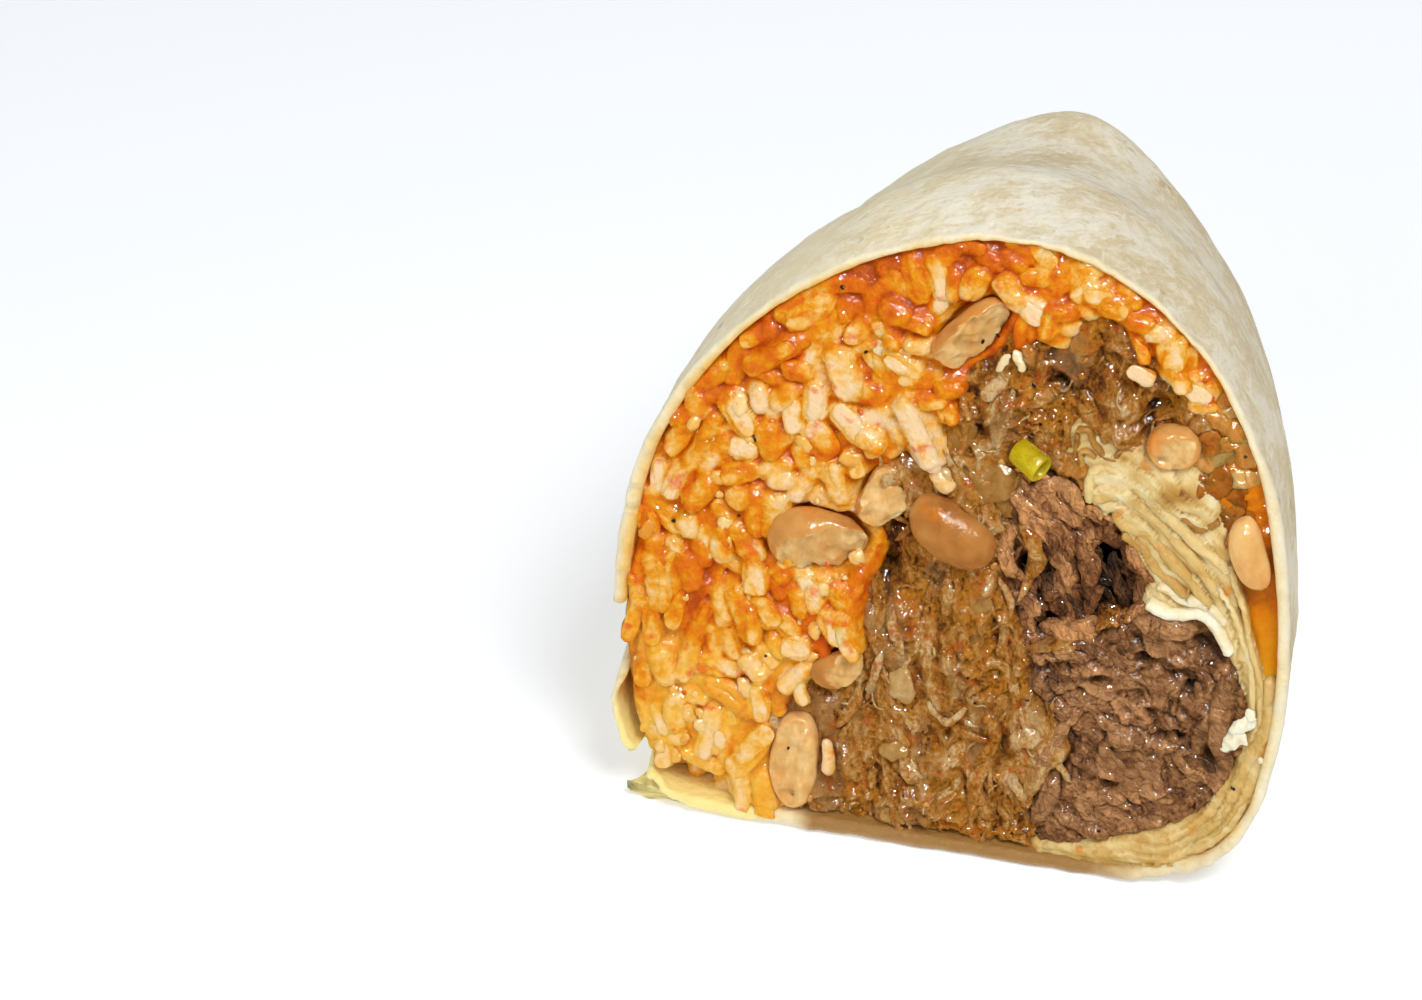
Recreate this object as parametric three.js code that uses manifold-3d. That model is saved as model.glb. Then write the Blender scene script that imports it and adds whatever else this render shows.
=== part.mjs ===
// Half of a burrito, lying on its flat underside with the cut face forwards.
// Millimetres, +Z up, the cut face towards -Y, the closed end towards +Y.
// Every filling runs back through the roll, so each one is swept along the same curved body.
import * as THREE from 'three';
import Module from 'manifold-3d';
import { mergeVertices } from 'three/addons/utils/BufferGeometryUtils.js';

const wasm = await Module();
wasm.setup();
const { Manifold, CrossSection } = wasm;

// ---- driving dimensions (mm and radians) ----
const LENGTH = 104;
const HEIGHT = 88;
const MIDDLE = -3;
const CUT_TILT = THREE.MathUtils.degToRad(15);
const END_TILT = THREE.MathUtils.degToRad(-12.65);
const WIDTHS = [1, 1.004, 0.957, 0.886, 0.74];
const HEIGHTS = [1, 0.975, 0.878, 0.83, 0.79];
const TOP_NARROWING = 0.354;
const SIDE_DRIFT = -1.37;
const FOLD_RISE = 4.3;
const FOLD_AT = 0.84;
const FOLD_SPAN = 0.14;
const FOLD_X = 5.8;
const FOLD_WIDTH = 12.9;
const CAP_START = 0.7;
const CAP_POWER = 2.3;
const CAP_LEVEL = 0.4;

const WRAP = 2.1;
const GAP = 0.3;
const OUTLINE_POINTS = 56;
const OUTER_STATIONS = [0, 0.13, 0.27, 0.41, 0.55, 0.68, 0.77, 0.84, 0.895, 0.935, 0.965, 0.985, 0.997];
const INNER_STATIONS = [0, 0.4, 0.7, 0.84, 0.94];
const HOLLOW_END = 0.945;
const LAYER_END = 0.95;
const FRONT = -0.06;
const CENTRE_X = 3;
const CENTRE_Y = -48.89;

const GROOVE_WIDTH = 0.7;
const GROOVE_END = 0.024;
const FLAP_STATIONS = [-0.01, 0.05, 0.15, 0.26];
const FLAP_TOWARDS = -38;
const FLAP_TAPER = 3.4;
const FLAP_NARROWEST = 0.9;

const BLOCK_DEPTH = 140;
const BLOCK_JITTER = 0.3;
const JITTER_STEPS = [[1.7, 2.3, 5], [2.9, 1.3, 9]];
const BLOCK_MARGIN = [3, 6];
const FIELD_ROUNDING = 0.35;
const SIMPLIFY = 0.1;

// Outline of the cut face, bottom left corner first, anticlockwise seen from the front.
const OUTLINE = [
  [-30, 0], [-2, 0], [25, 0.3], [36.3, 5.2], [41.2, 14], [42.8, 30], [40.8, 48], [36.5, 62], [27, 76],
  [14, 85.2], [1, 88], [-13, 85], [-27, 77], [-38.5, 65.5], [-46, 52], [-48.5, 38], [-48, 20], [-42.5, 4.5],
];

// Inner end of the tortilla: a crumpled fold high on the right that runs down into the lower corner.
const INNER_LEAF = [
  [11, 62], [12, 63], [13.5, 62.5], [15, 60.5], [20, 61], [22, 59.5], [25, 58.5], [28, 59.5], [29.5, 57.5],
  [31.5, 52], [33.5, 45], [34.5, 40.5], [36.5, 37], [38.5, 32], [41.2, 28], [41.4, 21], [39.8, 15],
  [36.5, 8], [31, 3.2], [24, 1.2], [11, 1.2], [11.5, 2.6], [16, 2.9], [19.5, 4], [25.5, 6], [30.5, 8.5],
  [34.5, 12], [36.5, 16], [38, 21.5], [38, 26.5], [36.4, 32], [33.5, 35.5], [30.5, 38.5], [23, 39.5],
  [24, 43], [20.5, 47.5], [17.5, 52], [16, 51.5], [14, 54], [13.5, 58], [11, 59],
];
const LEAF_GROOVES = [
  [[14.5, 56.5], [20, 53.8], [26, 48.5], [31.5, 41.5], [34.5, 36.5]],
  [[16.5, 59], [23.5, 56.6], [29, 51.5], [32, 45]],
  [[20, 50.3], [25, 45.5], [29, 40.8]],
  [[38.2, 30.5], [40.2, 26], [39.6, 20.5], [37.8, 14.6], [34.2, 9.2], [28.5, 4.6], [20, 2.3]],
];
const LOWER_FLAP = [[-30, 0], [-29, 1.9], [-36, 2.4], [-42.5, 2.2], [-44.6, 1.5], [-44.6, 0]];

// Gaps torn into the left edge, each with the station that it reaches back to.
const TORN_GAPS = [
  { line: [[-52, 18.8], [-44, 18.2], [-44.5, 27.6], [-46.5, 29.6], [-52, 30]], end: 0.075 },
  { line: [[-52, 4.6], [-41, 4.4], [-42, 7.2], [-52, 8]], end: 0.05 },
];

// Fields of the cut face. Earlier ones win where two meet; stewed meat takes the rest.
const SIDE_POCKET = [
  [31, 67], [29.5, 65.5], [28, 64.5], [28, 60.5], [30.5, 55], [33.5, 45], [35, 41], [38, 34.5], [40.8, 33],
  [45, 33], [41, 72], [34, 71],
];
const RICE_FIELD = [
  [31, 66.2], [26.5, 69.5], [22, 71.5], [20, 75], [13, 78], [10.5, 77], [9, 73], [6.5, 72.5], [2, 74.5],
  [1, 71.5], [-3, 67.5], [-5.5, 60], [-4.5, 55.5], [-8.5, 54], [-11, 56], [-14.5, 51], [-12.5, 42],
  [-14.5, 36], [-14, 27], [-19.5, 24], [-25.6, 16], [-25, 8], [-20.5, 0.5], [-20.5, -3], [-50, -4],
  [-54.5, 80.5], [-7.5, 90], [18.5, 90.5], [32.5, 79.5], [33, 68.5],
];
const CHUNK_FIELD = [
  [8, 29.5], [15, 32], [18, 36], [22.5, 36], [29.5, 38.5], [32.5, 38], [36, 32], [41, 20], [38, 14.5],
  [30.5, 6], [19.5, 1.5], [12, 1.5], [10, 8], [13, 13], [15, 16.5], [12.5, 21], [8.5, 25],
];
const SHRED_FIELD = [
  [4.5, 53], [11.5, 55.5], [14.5, 52], [18.5, 51], [24.5, 44.5], [24.5, 38], [21, 36.5], [17.5, 35.5],
  [16, 33], [13, 31.5], [7.5, 30.8], [6.5, 34], [4, 37], [3.5, 40.5], [5, 42.5], [2.5, 48],
];

// Whole and broken beans: [name, x, up, length, width, thickness, angle in degrees, forward offset].
const BEANS = [
  ['bean_whole', -3.5, 46, 12.9, 8.1, 6.6, -21, -1],
  ['bean_cut_top', -2.9, 73.8, 12.2, 6.8, 6.6, 46, -1.4],
  ['bean_broken_left', -21, 42, 13.8, 9.6, 7, -4, -1.2],
  ['bean_half_middle', -12.9, 49.4, 8.8, 6.8, 6, 66, -1.7],
  ['bean_round_right', 24.3, 62.2, 7.2, 6, 5.6, 6, -1],
  ['bean_pale_right', 35.4, 49, 10.4, 4.8, 5, -70, -1.2],
  ['bean_pale_low', -22, 9.9, 14, 6.6, 6, -90, -1.4],
  ['bean_skin_low', -17, 24.2, 7.8, 5, 4.4, 28, -1.2],
];

// Rice grains on the cut face: [x, up, angle in degrees, length, width, forward offset].
const GRAINS = [
  [-24.6, 73.6, 36, 5.8, 2.7, 0], [-29.2, 66.9, 36, 6.7, 2.9, 0.5], [-30.4, 60.8, 97, 3.5, 2.5, 0],
  [-33.1, 58.3, 127, 5.5, 3.4, 0.5], [-22.9, 61.4, 93, 4.5, 2.9, 0.5], [-19.4, 66, 115, 6.5, 3.4, 0.3],
  [-16.6, 63.7, 0, 5, 3, 0.3], [-18.2, 59.3, 132, 5, 3, 0.8], [-15.1, 57.3, 153, 3.5, 2.7, 1],
  [-8.9, 59.1, 120, 9.3, 2.5, 1.5], [-7.7, 63.8, 13, 3.8, 2.4, 0.5], [-17.1, 53.8, 113, 3.6, 2.7, 0],
  [-19.2, 50.7, 108, 5, 2.5, 0.5], [-23.6, 49.9, 65, 4.8, 2.4, 0.5], [-26.5, 50, 12, 3.2, 2.5, 1],
  [-27.7, 45, 90, 5.2, 2.4, 1], [-31.9, 46.6, 173, 3.2, 3, 0.5], [-32.3, 50, 24, 4.5, 2.7, 0.3],
  [-28.5, 55.2, 112, 4.5, 3, 0.2], [-32, 53.5, 169, 3.2, 3, 0.2], [-27, 61.6, 48, 3.8, 2.7, 0.2],
  [-25.4, 59.2, 94, 4.2, 2.7, 0.2], [-38.3, 51.8, 61, 5.1, 2.4, 0], [-36.8, 55.8, 67, 4.1, 2.4, 0],
  [-41, 47.4, 71, 4, 2.5, 0.3], [-37.4, 46.7, 51, 4.8, 2.9, 0.8], [-43.2, 47.4, 96, 4.4, 2.4, -0.3],
  [-41.8, 42.2, 140, 4.7, 2.4, -0.3], [-38.9, 58.7, 125, 3.9, 2.7, -0.3], [-13.3, 75.4, 158, 3.7, 2.7, 1],
  [-10.4, 74.2, 167, 3.8, 2.2, 1], [-9.8, 71.1, 5, 3.2, 2.2, 0.5], [-22.4, 69.6, 62, 8.1, 2.7, -0.3],
  [-11.1, 79.9, 109, 5.5, 2.7, -0.2], [-8.2, 80.5, 116, 5.3, 2.7, -0.2], [-22, 56.2, 125, 4.6, 3.4, 0.3],
  [-34.2, 44.2, 143, 3.2, 2.4, 0.2], [-34, 39.8, 101, 4.3, 2.2, 0.3], [-36.5, 39.5, 98, 4.3, 2.4, 0.1],
  [-30.7, 40.4, 134, 5.2, 2.5, 0.4], [-25.5, 65.2, 8, 3.2, 2.5, 0.2], [-37.3, 62.2, 39, 5.4, 2.4, -0.4],
  [-33.4, 64.9, 79, 5.1, 2.4, -0.4], [-38.9, 41.6, 107, 3.2, 3, 0], [-42.8, 26.9, 95, 5.4, 2.5, 0.3],
  [-43.2, 21.3, 85, 6.4, 2.5, 0.3], [-40.6, 21, 112, 4.9, 3.2, 0.6], [-37.6, 22.7, 75, 6, 2.2, 0.6],
  [-36.3, 28, 73, 5.8, 2.2, 0.8], [-42.4, 33, 104, 7.2, 3, 0.2], [-38.2, 30.5, 64, 7, 3, 0.4],
  [-38, 35.1, 106, 4.7, 2.7, 0.1], [-33.5, 30.9, 104, 5, 2.7, 0], [-32, 26.2, 111, 4.8, 2.4, 0],
  [-30.5, 30.3, 114, 7.4, 3, 0.6], [-29.1, 35.8, 99, 4.1, 3, 1], [-27.6, 31, 137, 4.3, 3.2, 0.7],
  [-24.8, 29.6, 144, 4.3, 2.7, 0.5], [-22.8, 26.6, 2, 3.2, 3.2, 0.8], [-28.5, 22.6, 138, 4, 2.5, 0.8],
  [-22.5, 22.1, 46, 4.8, 2.7, 0.8], [-18.2, 31.2, 123, 4.3, 3, 1], [-16.4, 30.6, 114, 5.4, 2.7, 1],
  [-22.2, 33.4, 106, 3.4, 2.4, 0.4], [-33.7, 21.9, 179, 6.1, 2.7, 0.1], [-31.6, 17.4, 153, 6.8, 2.2, 0],
  [-27.8, 17.8, 107, 4.6, 2.7, 0.4], [-27.8, 10.7, 57, 7.8, 2.9, 1.2], [-34.1, 12, 82, 6.2, 2.7, 0.5],
  [-38.9, 14.2, 94, 5.2, 3, 0], [-28.8, 5, 100, 6.3, 2.4, 0.8], [-25.8, 5, 100, 5.6, 3, 0.8],
  [-42.8, 38, 110, 3.8, 2.4, 0.2], [-35, 35.5, 109, 3.3, 2.4, 0.2], [-39.8, 10.6, 161, 4.6, 2.4, -0.2],
  [-34.6, 7.6, 161, 5.3, 2.4, -0.2], [-5.6, 79.9, 75, 3.8, 2.9, 0.6], [1.5, 80.2, 137, 4.3, 3, 0.6],
  [4.4, 78.2, 145, 3.4, 3, 0.5], [7, 76.6, 90, 3.6, 2.4, 1], [6.6, 81.2, 30, 3.6, 2.4, -0.3],
  [12.2, 80.6, 10, 3.2, 2.9, 0.2], [15.2, 79.1, 171, 3.2, 2.9, 0.6], [18.6, 77.6, 169, 3.2, 2.5, 0.4],
  [22.6, 74.2, 103, 3.9, 3.2, 0.9], [24.6, 71.2, 137, 4.6, 3, 0.4], [27.6, 68.6, 151, 3.9, 2.7, 0.3],
];

const ROUND_SIDES = 8;

// Profiles of loose pieces: [place along the length, scale of the width].
const BEAN_RINGS = [[-0.86, 0.52], [-0.36, 0.95], [0.36, 0.95], [0.86, 0.52]];
const GRAIN_RINGS = [[-0.62, 1], [0.62, 1]];
const STRIP_RINGS = [[-0.75, 0.9], [0.1, 1], [0.75, 0.7]];
const PEPPER_RINGS = [[-0.9, 0.9], [0.9, 1]];

// Rough fronts: level and height of the relief, its grain, the grid cell, and wells as
// [x, up, half width, half height, depth].
const RICE_FRONT = {
  level: -1.2, height: 0.4, grain: [4, 4], seed: 3, cell: 5.2, wells: [[-37, 2.5, 8, 3.2, 7]],
};
const STEW_FRONT = {
  level: -0.5, height: 1.3, grain: [3.4, 4.6], seed: 7, cell: 3.6,
  wells: [[-12, 38, 2.6, 4, 8], [3, 75, 2, 1.6, 4]],
};
const CHUNK_FRONT = {
  level: 0, height: 1.2, grain: [2.4, 5], seed: 13, cell: 3, across: [0.57, 0.82],
  wells: [[32.5, 36, 3, 3, 8], [28, 21, 2, 1.2, 3]],
};
const SHRED_FRONT = {
  level: -1.2, height: 1, grain: [2.6, 3.2], seed: 17, cell: 2.8,
  wells: [
    [8, 40.5, 1.8, 3.4, 9], [17, 40, 2.6, 4.2, 10], [17.5, 45.5, 1.6, 1.6, 6], [9.5, 33.5, 2.2, 1.6, 6],
  ],
};
const POCKET_FRONT = {
  level: -1.6, height: 0.6, grain: [3, 3], seed: 19, cell: 3.2, wells: [[32, 61.5, 1.5, 1.5, 2.5]],
};

// Strips and lumps fused to the fronts. A [start, span] pair is drawn at random, a number is fixed.
const STEW_HIGH = { u: [2, 18], v: [60, 14] };
const STEW_LOW = { u: [-12, 20], v: [6, 30] };
const STEW_PLACES = [STEW_HIGH, STEW_LOW, STEW_LOW];
const STEW_STRIP = {
  seed: 23, count: 13, angle: [45, 50], length: [6, 4], width: [2, 1], depth: 1.8, forward: 0.5,
  sides: 4, rings: STRIP_RINGS, pitch: [0, 0.2],
};
const CHUNK_PLACES = [{ u: [14, 20], v: [8, 24] }];
const CHUNK_STRIP = {
  seed: 31, count: 12, angle: [-35, 20], length: [5, 3], width: 2.8, depth: 2.2, forward: -0.2,
  sides: 5, rings: GRAIN_RINGS, pitch: 0.2,
};
const CHUNK_EDGE = {
  u: 36, v: 24, angle: 97, length: 13, width: 3, depth: 2.4, forward: 0.2,
  sides: 6, rings: STRIP_RINGS, pitch: 0,
};
const SHRED_PLACES = [{ u: [5, 18], v: [34, 17] }];
const SHRED_STRIP = {
  seed: 47, count: 12, angle: [-87, 50], length: [8, 4], width: [1.8, 1], depth: 1.8, forward: -0.2,
  sides: 4, rings: STRIP_RINGS, pitch: [-0.15, 0.3],
};
const POCKET_LINE = [[32, 64.5], [36.5, 53]];
const POCKET_SPREAD = [-1.2, 2.4];
const POCKET_LUMP = {
  seed: 59, count: 6, angle: [0, 180], length: [4.6, 1], width: 3.8, depth: 3, forward: -0.4,
  sides: 5, rings: GRAIN_RINGS, pitch: 0,
};
const GRAIN_SET = { seed: 11, pitch: 0.25, share: 0.7, back: 0.6, sides: 4 };

const PEPPER = { u: 5.9, v: 57.9, angle: -0.4, length: 5, radius: 2, forward: 0.2 };
const PEPPER_BORE = { right: 1.5, down: 0.6, forward: 1.3, length: 3.6, width: 2.4, pitch: 0.5 };

// ---- small helpers ----
function makeRandom(seed) {
  let state = seed;
  return () => {
    state = (state * 1664525 + 1013904223) % 4294967296;
    return state / 4294967296;
  };
}

const lerp = THREE.MathUtils.lerp;
const clamp = THREE.MathUtils.clamp;
const degrees = THREE.MathUtils.degToRad;

// Smooth blend between b and c for f of 0 to 1, with a and d as their neighbours.
function blend([a, b, c, d], f) {
  const slope = c - a;
  const bend = 2 * a - 5 * b + 4 * c - d;
  const twist = 3 * b - a - 3 * c + d;
  return 0.5 * (2 * b + slope * f + bend * f ** 2 + twist * f ** 3);
}

// Smooth curve through evenly spaced values, t from 0 to 1.
function along(values, t) {
  const last = values.length - 1;
  const x = clamp(t, 0, 1) * last;
  const i = Math.min(Math.floor(x), last - 1);
  const near = [-1, 0, 1, 2].map((step) => values[clamp(i + step, 0, last)]);
  return blend(near, x - i);
}

function closedCurve(points, count) {
  const curve = [];
  const total = points.length;
  for (let k = 0; k < count; k += 1) {
    const x = (k / count) * total;
    const i = Math.floor(x);
    const near = [-1, 0, 1, 2].map((step) => points[(i + step + total) % total]);
    const [u, v] = [0, 1].map((n) => blend(near.map((point) => point[n]), x - i));
    curve.push([u, Math.max(0, v)]);
  }
  return curve;
}

// Smooth repeatable noise on the cut face, about -1 to 1.
function noise(u, v, seed) {
  const cell = (i, j) => {
    const n = Math.sin(i * 127.1 + j * 311.7 + seed * 74.7) * 43758.5453;
    return 2 * (n - Math.floor(n)) - 1;
  };
  const i = Math.floor(u);
  const j = Math.floor(v);
  const fu = (u - i) ** 2 * (3 - 2 * (u - i));
  const fv = (v - j) ** 2 * (3 - 2 * (v - j));
  return lerp(lerp(cell(i, j), cell(i + 1, j), fu), lerp(cell(i, j + 1), cell(i + 1, j + 1), fu), fv);
}

// Point of the body for a place (u, v) on the cut face carried back to station s of 0 to 1.
function bodyPoint(u, v, s) {
  const up = Math.max(0, v);
  const share = up / HEIGHT;
  const narrow = 1 - TOP_NARROWING * Math.max(0, s) * Math.min(share, 1);
  const tall = along(HEIGHTS, s);
  let x = (u - MIDDLE) * along(WIDTHS, s) * narrow + MIDDLE + SIDE_DRIFT * Math.max(0, s);
  const foldAlong = Math.exp(-(((s - FOLD_AT) / FOLD_SPAN) ** 2));
  const foldAcross = Math.exp(-(((x - FOLD_X) / FOLD_WIDTH) ** 2));
  const fold = foldAlong * foldAcross;
  let h = up * tall + FOLD_RISE * fold * share ** 2;
  if (s > CAP_START) {
    const c = Math.max(0, 1 - ((s - CAP_START) / (1 - CAP_START)) ** CAP_POWER) ** (1 / CAP_POWER);
    const x0 = MIDDLE + SIDE_DRIFT * s;
    const h0 = CAP_LEVEL * HEIGHT * tall;
    x = x0 + (x - x0) * c;
    h = h0 + (h - h0) * c;
  }
  const tilt = lerp(CUT_TILT, END_TILT, Math.max(0, s));
  return [x + CENTRE_X, LENGTH * s + h * Math.sin(tilt) + CENTRE_Y, h * Math.cos(tilt)];
}

// Point in front of (or behind) the cut plane by a forward offset.
function facePoint(u, v, forward) {
  const [x, y, z] = bodyPoint(u, v, 0);
  return [x, y - forward * Math.cos(CUT_TILT), z + forward * Math.sin(CUT_TILT)];
}

function solidFrom(points, faces) {
  const mesh = new wasm.Mesh({
    numProp: 3,
    vertProperties: new Float32Array(points.flat()),
    triVerts: new Uint32Array(faces.flat()),
  });
  return new Manifold(mesh);
}

const flatPoints = (line) => line.map(([u, v]) => new THREE.Vector2(u, v));

// Solid of one closed outline swept back through the given stations.
function sweep(line, stations, place = bodyPoint) {
  const clockwise = THREE.ShapeUtils.area(flatPoints(line)) < 0;
  const outline = clockwise ? [...line].reverse() : line;
  const count = outline.length;
  const points = [];
  for (const s of stations) {
    for (const [u, v] of outline) {
      points.push(place(u, v, s));
    }
  }
  const cap = THREE.ShapeUtils.triangulateShape(flatPoints(outline), []);
  const faces = cap.map(([a, b, c]) => [a, b, c]);
  const end = (stations.length - 1) * count;
  for (const [a, b, c] of cap) {
    faces.push([end + a, end + c, end + b]);
  }
  for (let r = 0; r + 1 < stations.length; r += 1) {
    for (let k = 0; k < count; k += 1) {
      const a = r * count + k;
      const b = r * count + ((k + 1) % count);
      faces.push([a, a + count, b + count], [a, b + count, b]);
    }
  }
  return solidFrom(points, faces);
}

// Block behind a rough front: relief(u, v) is the forward offset of the front at each place.
function roughBlock(relief, cell, [u0, v0, u1, v1]) {
  const columns = Math.ceil((u1 - u0) / cell);
  const rows = Math.ceil((v1 - v0) / cell);
  const layer = (columns + 1) * (rows + 1);
  const points = [];
  const index = (i, j) => j * (columns + 1) + i;
  for (const back of [false, true]) {
    for (let j = 0; j <= rows; j += 1) {
      for (let i = 0; i <= columns; i += 1) {
        const edge = i === 0 || j === 0 || i === columns || j === rows;
        const jitter = ([a, b, seed]) => (edge ? 0 : BLOCK_JITTER * noise(i * a, j * b, seed));
        const [du, dv] = JITTER_STEPS.map(jitter);
        const u = u0 + (i + du) * cell;
        const v = v0 + (j + dv) * cell;
        const forward = back ? -BLOCK_DEPTH : relief(u, v);
        const x = u + CENTRE_X;
        const y = v * Math.sin(CUT_TILT) - forward * Math.cos(CUT_TILT) + CENTRE_Y;
        points.push([x, y, v * Math.cos(CUT_TILT) + forward * Math.sin(CUT_TILT)]);
      }
    }
  }
  const faces = [];
  for (let j = 0; j < rows; j += 1) {
    for (let i = 0; i < columns; i += 1) {
      const front = [index(i, j), index(i + 1, j), index(i + 1, j + 1), index(i, j + 1)];
      const [a, b, c, d] = front;
      const [e, f, g, h] = front.map((corner) => corner + layer);
      faces.push([a, b, c], [a, c, d], [e, g, f], [e, h, g]);
    }
  }
  for (let i = 0; i < columns; i += 1) {
    const [a, b] = [index(i, 0), index(i + 1, 0)];
    const [c, d] = [index(i, rows), index(i + 1, rows)];
    faces.push([a, a + layer, b + layer], [a, b + layer, b], [c, d + layer, c + layer], [c, d, d + layer]);
  }
  for (let j = 0; j < rows; j += 1) {
    const [a, b] = [index(0, j), index(0, j + 1)];
    const [c, d] = [index(columns, j), index(columns, j + 1)];
    faces.push([a, b + layer, a + layer], [a, b, b + layer], [c, c + layer, d + layer], [c, d + layer, d]);
  }
  return solidFrom(points, faces);
}

// Rounded spindle with pointed ends, laid on the cut face.
function spindle(u, v, angle, length, width, depth, forward, sides, rings, pitch = 0) {
  const points = [[-length / 2, 0, 0]];
  for (const [place, scale] of rings) {
    for (let k = 0; k < sides; k += 1) {
      const turn = (2 * Math.PI * (k + 0.5)) / sides;
      const across = (scale * width * Math.cos(turn)) / 2;
      const deep = (scale * depth * Math.sin(turn)) / 2;
      points.push([(place * length) / 2, across, deep]);
    }
  }
  points.push([length / 2, 0, 0]);
  const faces = [];
  const last = points.length - 1;
  for (let k = 0; k < sides; k += 1) {
    const next = (k + 1) % sides;
    faces.push([0, 1 + next, 1 + k]);
    faces.push([last, last - sides + k, last - sides + next]);
    for (let r = 0; r + 1 < rings.length; r += 1) {
      const [a, b] = [1 + r * sides + k, 1 + r * sides + next];
      faces.push([a, b, b + sides], [a, b + sides, a + sides]);
    }
  }
  const [cu, su] = [Math.cos(angle), Math.sin(angle)];
  const [cp, sp] = [Math.cos(pitch), Math.sin(pitch)];
  const origin = facePoint(u, v, forward);
  const placed = points.map(([l, w, n]) => {
    const l2 = l * cp - n * sp;
    const n2 = l * sp + n * cp;
    const du = l2 * cu - w * su;
    const dv = l2 * su + w * cu;
    return [
      origin[0] + du,
      origin[1] + dv * Math.sin(CUT_TILT) - n2 * Math.cos(CUT_TILT),
      origin[2] + dv * Math.cos(CUT_TILT) + n2 * Math.sin(CUT_TILT),
    ];
  });
  return solidFrom(placed, faces);
}

function bean([, u, v, length, width, depth, angle, forward], grow = 0) {
  const turn = degrees(angle);
  const [long, wide, deep] = [length, width, depth].map((size) => size + 2 * grow);
  return spindle(u, v, turn, long, wide, deep, forward, ROUND_SIDES, BEAN_RINGS);
}

function largest(solid) {
  const parts = solid.decompose();
  return parts.reduce((best, part) => (part.volume() > best.volume() ? part : best));
}

function section(points) {
  return CrossSection.ofPolygons([points], 'NonZero');
}

// Longest contour of a cross-section, as a plain anticlockwise outline.
function contour(cross) {
  const size = (polygon) => Math.abs(THREE.ShapeUtils.area(flatPoints(polygon)));
  const polygons = cross.simplify(SIMPLIFY).toPolygons();
  return polygons.reduce((best, polygon) => (size(polygon) > size(best) ? polygon : best));
}

// Narrow closed strip along an open line, for a groove.
function strip(line, width) {
  const left = [];
  const right = [];
  line.forEach(([u, v], k) => {
    const [a, b] = [line[Math.max(0, k - 1)], line[Math.min(line.length - 1, k + 1)]];
    const size = Math.hypot(b[0] - a[0], b[1] - a[1]);
    const [nu, nv] = [(-(b[1] - a[1]) / size) * width / 2, ((b[0] - a[0]) / size) * width / 2];
    left.unshift([u + nu, v + nv]);
    right.push([u - nu, v - nv]);
  });
  return [...right, ...left];
}

// ---- fields of the cut face ----
const outer = closedCurve(OUTLINE, OUTLINE_POINTS);
const outerSection = section(outer);
const leaf = section(INNER_LEAF).add(section(LOWER_FLAP));
const cavity = outerSection.offset(-(WRAP + GAP), 'Miter');
const open = cavity.subtract(leaf.offset(GAP, 'Miter'));

const taken = [];
function field(points) {
  let area = points ? open.intersect(section(points)) : open;
  for (const other of taken) {
    area = area.subtract(other.offset(GAP, 'Miter'));
  }
  area = area.offset(-FIELD_ROUNDING, 'Miter').offset(FIELD_ROUNDING, 'Miter');
  taken.push(area);
  return contour(area);
}
const fields = {
  side_pocket: field(SIDE_POCKET),
  rice: field(RICE_FIELD),
  chunk: field(CHUNK_FIELD),
  shreds: field(SHRED_FIELD),
  stew: field(null),
};

const openSolid = sweep(contour(open), [FRONT, ...INNER_STATIONS]);

// ---- tortilla: one sheet with its closed end, inner leaf, flap and torn gaps ----
function tortillaSolid() {
  const hollow = contour(outerSection.offset(-WRAP, 'Miter'));
  let bread = sweep(outer, OUTER_STATIONS).subtract(sweep(hollow, [FRONT, ...INNER_STATIONS, HOLLOW_END]));
  const inside = sweep(outer, [FRONT, ...OUTER_STATIONS]);
  for (const layer of [INNER_LEAF, LOWER_FLAP]) {
    bread = bread.add(sweep(layer, [...INNER_STATIONS, LAYER_END]).intersect(inside));
  }
  const drawn = (s) => clamp(FLAP_TAPER * s, 0, FLAP_NARROWEST);
  const tongue = (u, v, s) => bodyPoint(lerp(u, FLAP_TOWARDS, drawn(s)), v, s);
  bread = bread.add(sweep(LOWER_FLAP, FLAP_STATIONS, tongue));
  for (const { line, end } of TORN_GAPS) {
    bread = bread.subtract(sweep(line, [FRONT, end]));
  }
  for (const line of LEAF_GROOVES) {
    bread = bread.subtract(sweep(strip(line, GROOVE_WIDTH), [FRONT, GROOVE_END]));
  }
  return largest(bread);
}

// ---- fillings ----
const beans = BEANS.map((spec) => ({ spec, solid: bean(spec), room: bean(spec, GAP) }));
function pepperSolid(grow) {
  const { u, v, angle, length, radius, forward } = PEPPER;
  const size = 2 * (radius + grow);
  return spindle(u, v, angle, length + 2 * grow, size, size, forward, ROUND_SIDES, PEPPER_RINGS);
}
const pepperRoom = pepperSolid(GAP);

// Forward offset of one rough front at (u, v).
function reliefOf({ level, height, grain, seed, wells, across }) {
  return (u, v) => {
    const [a, b] = across ? [u * across[0] + v * across[1], u * across[1] - v * across[0]] : [u, v];
    let forward = level + height * noise(a / grain[0], b / grain[1], seed);
    for (const [u0, v0, ru, rv, depth] of wells) {
      forward -= depth * Math.exp(-(((u - u0) / ru) ** 2) - ((v - v0) / rv) ** 2);
    }
    return forward;
  };
}

// One loose strip or lump; draw gives a number for a [start, span] pair.
function loosePiece(u, v, kind, draw) {
  const angle = degrees(draw(kind.angle));
  const length = draw(kind.length);
  const width = draw(kind.width);
  const { depth, forward, sides, rings } = kind;
  return spindle(u, v, angle, length, width, depth, forward, sides, rings, draw(kind.pitch));
}

function drawFrom(seed) {
  const random = makeRandom(seed);
  return (value) => (Array.isArray(value) ? value[0] + value[1] * random() : value);
}

function strips(kind, places, draw) {
  const pieces = [];
  for (let k = 0; k < kind.count; k += 1) {
    const place = places[k % places.length];
    const u = draw(place.u);
    const v = draw(place.v);
    pieces.push(loosePiece(u, v, kind, draw));
  }
  return pieces;
}

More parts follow.
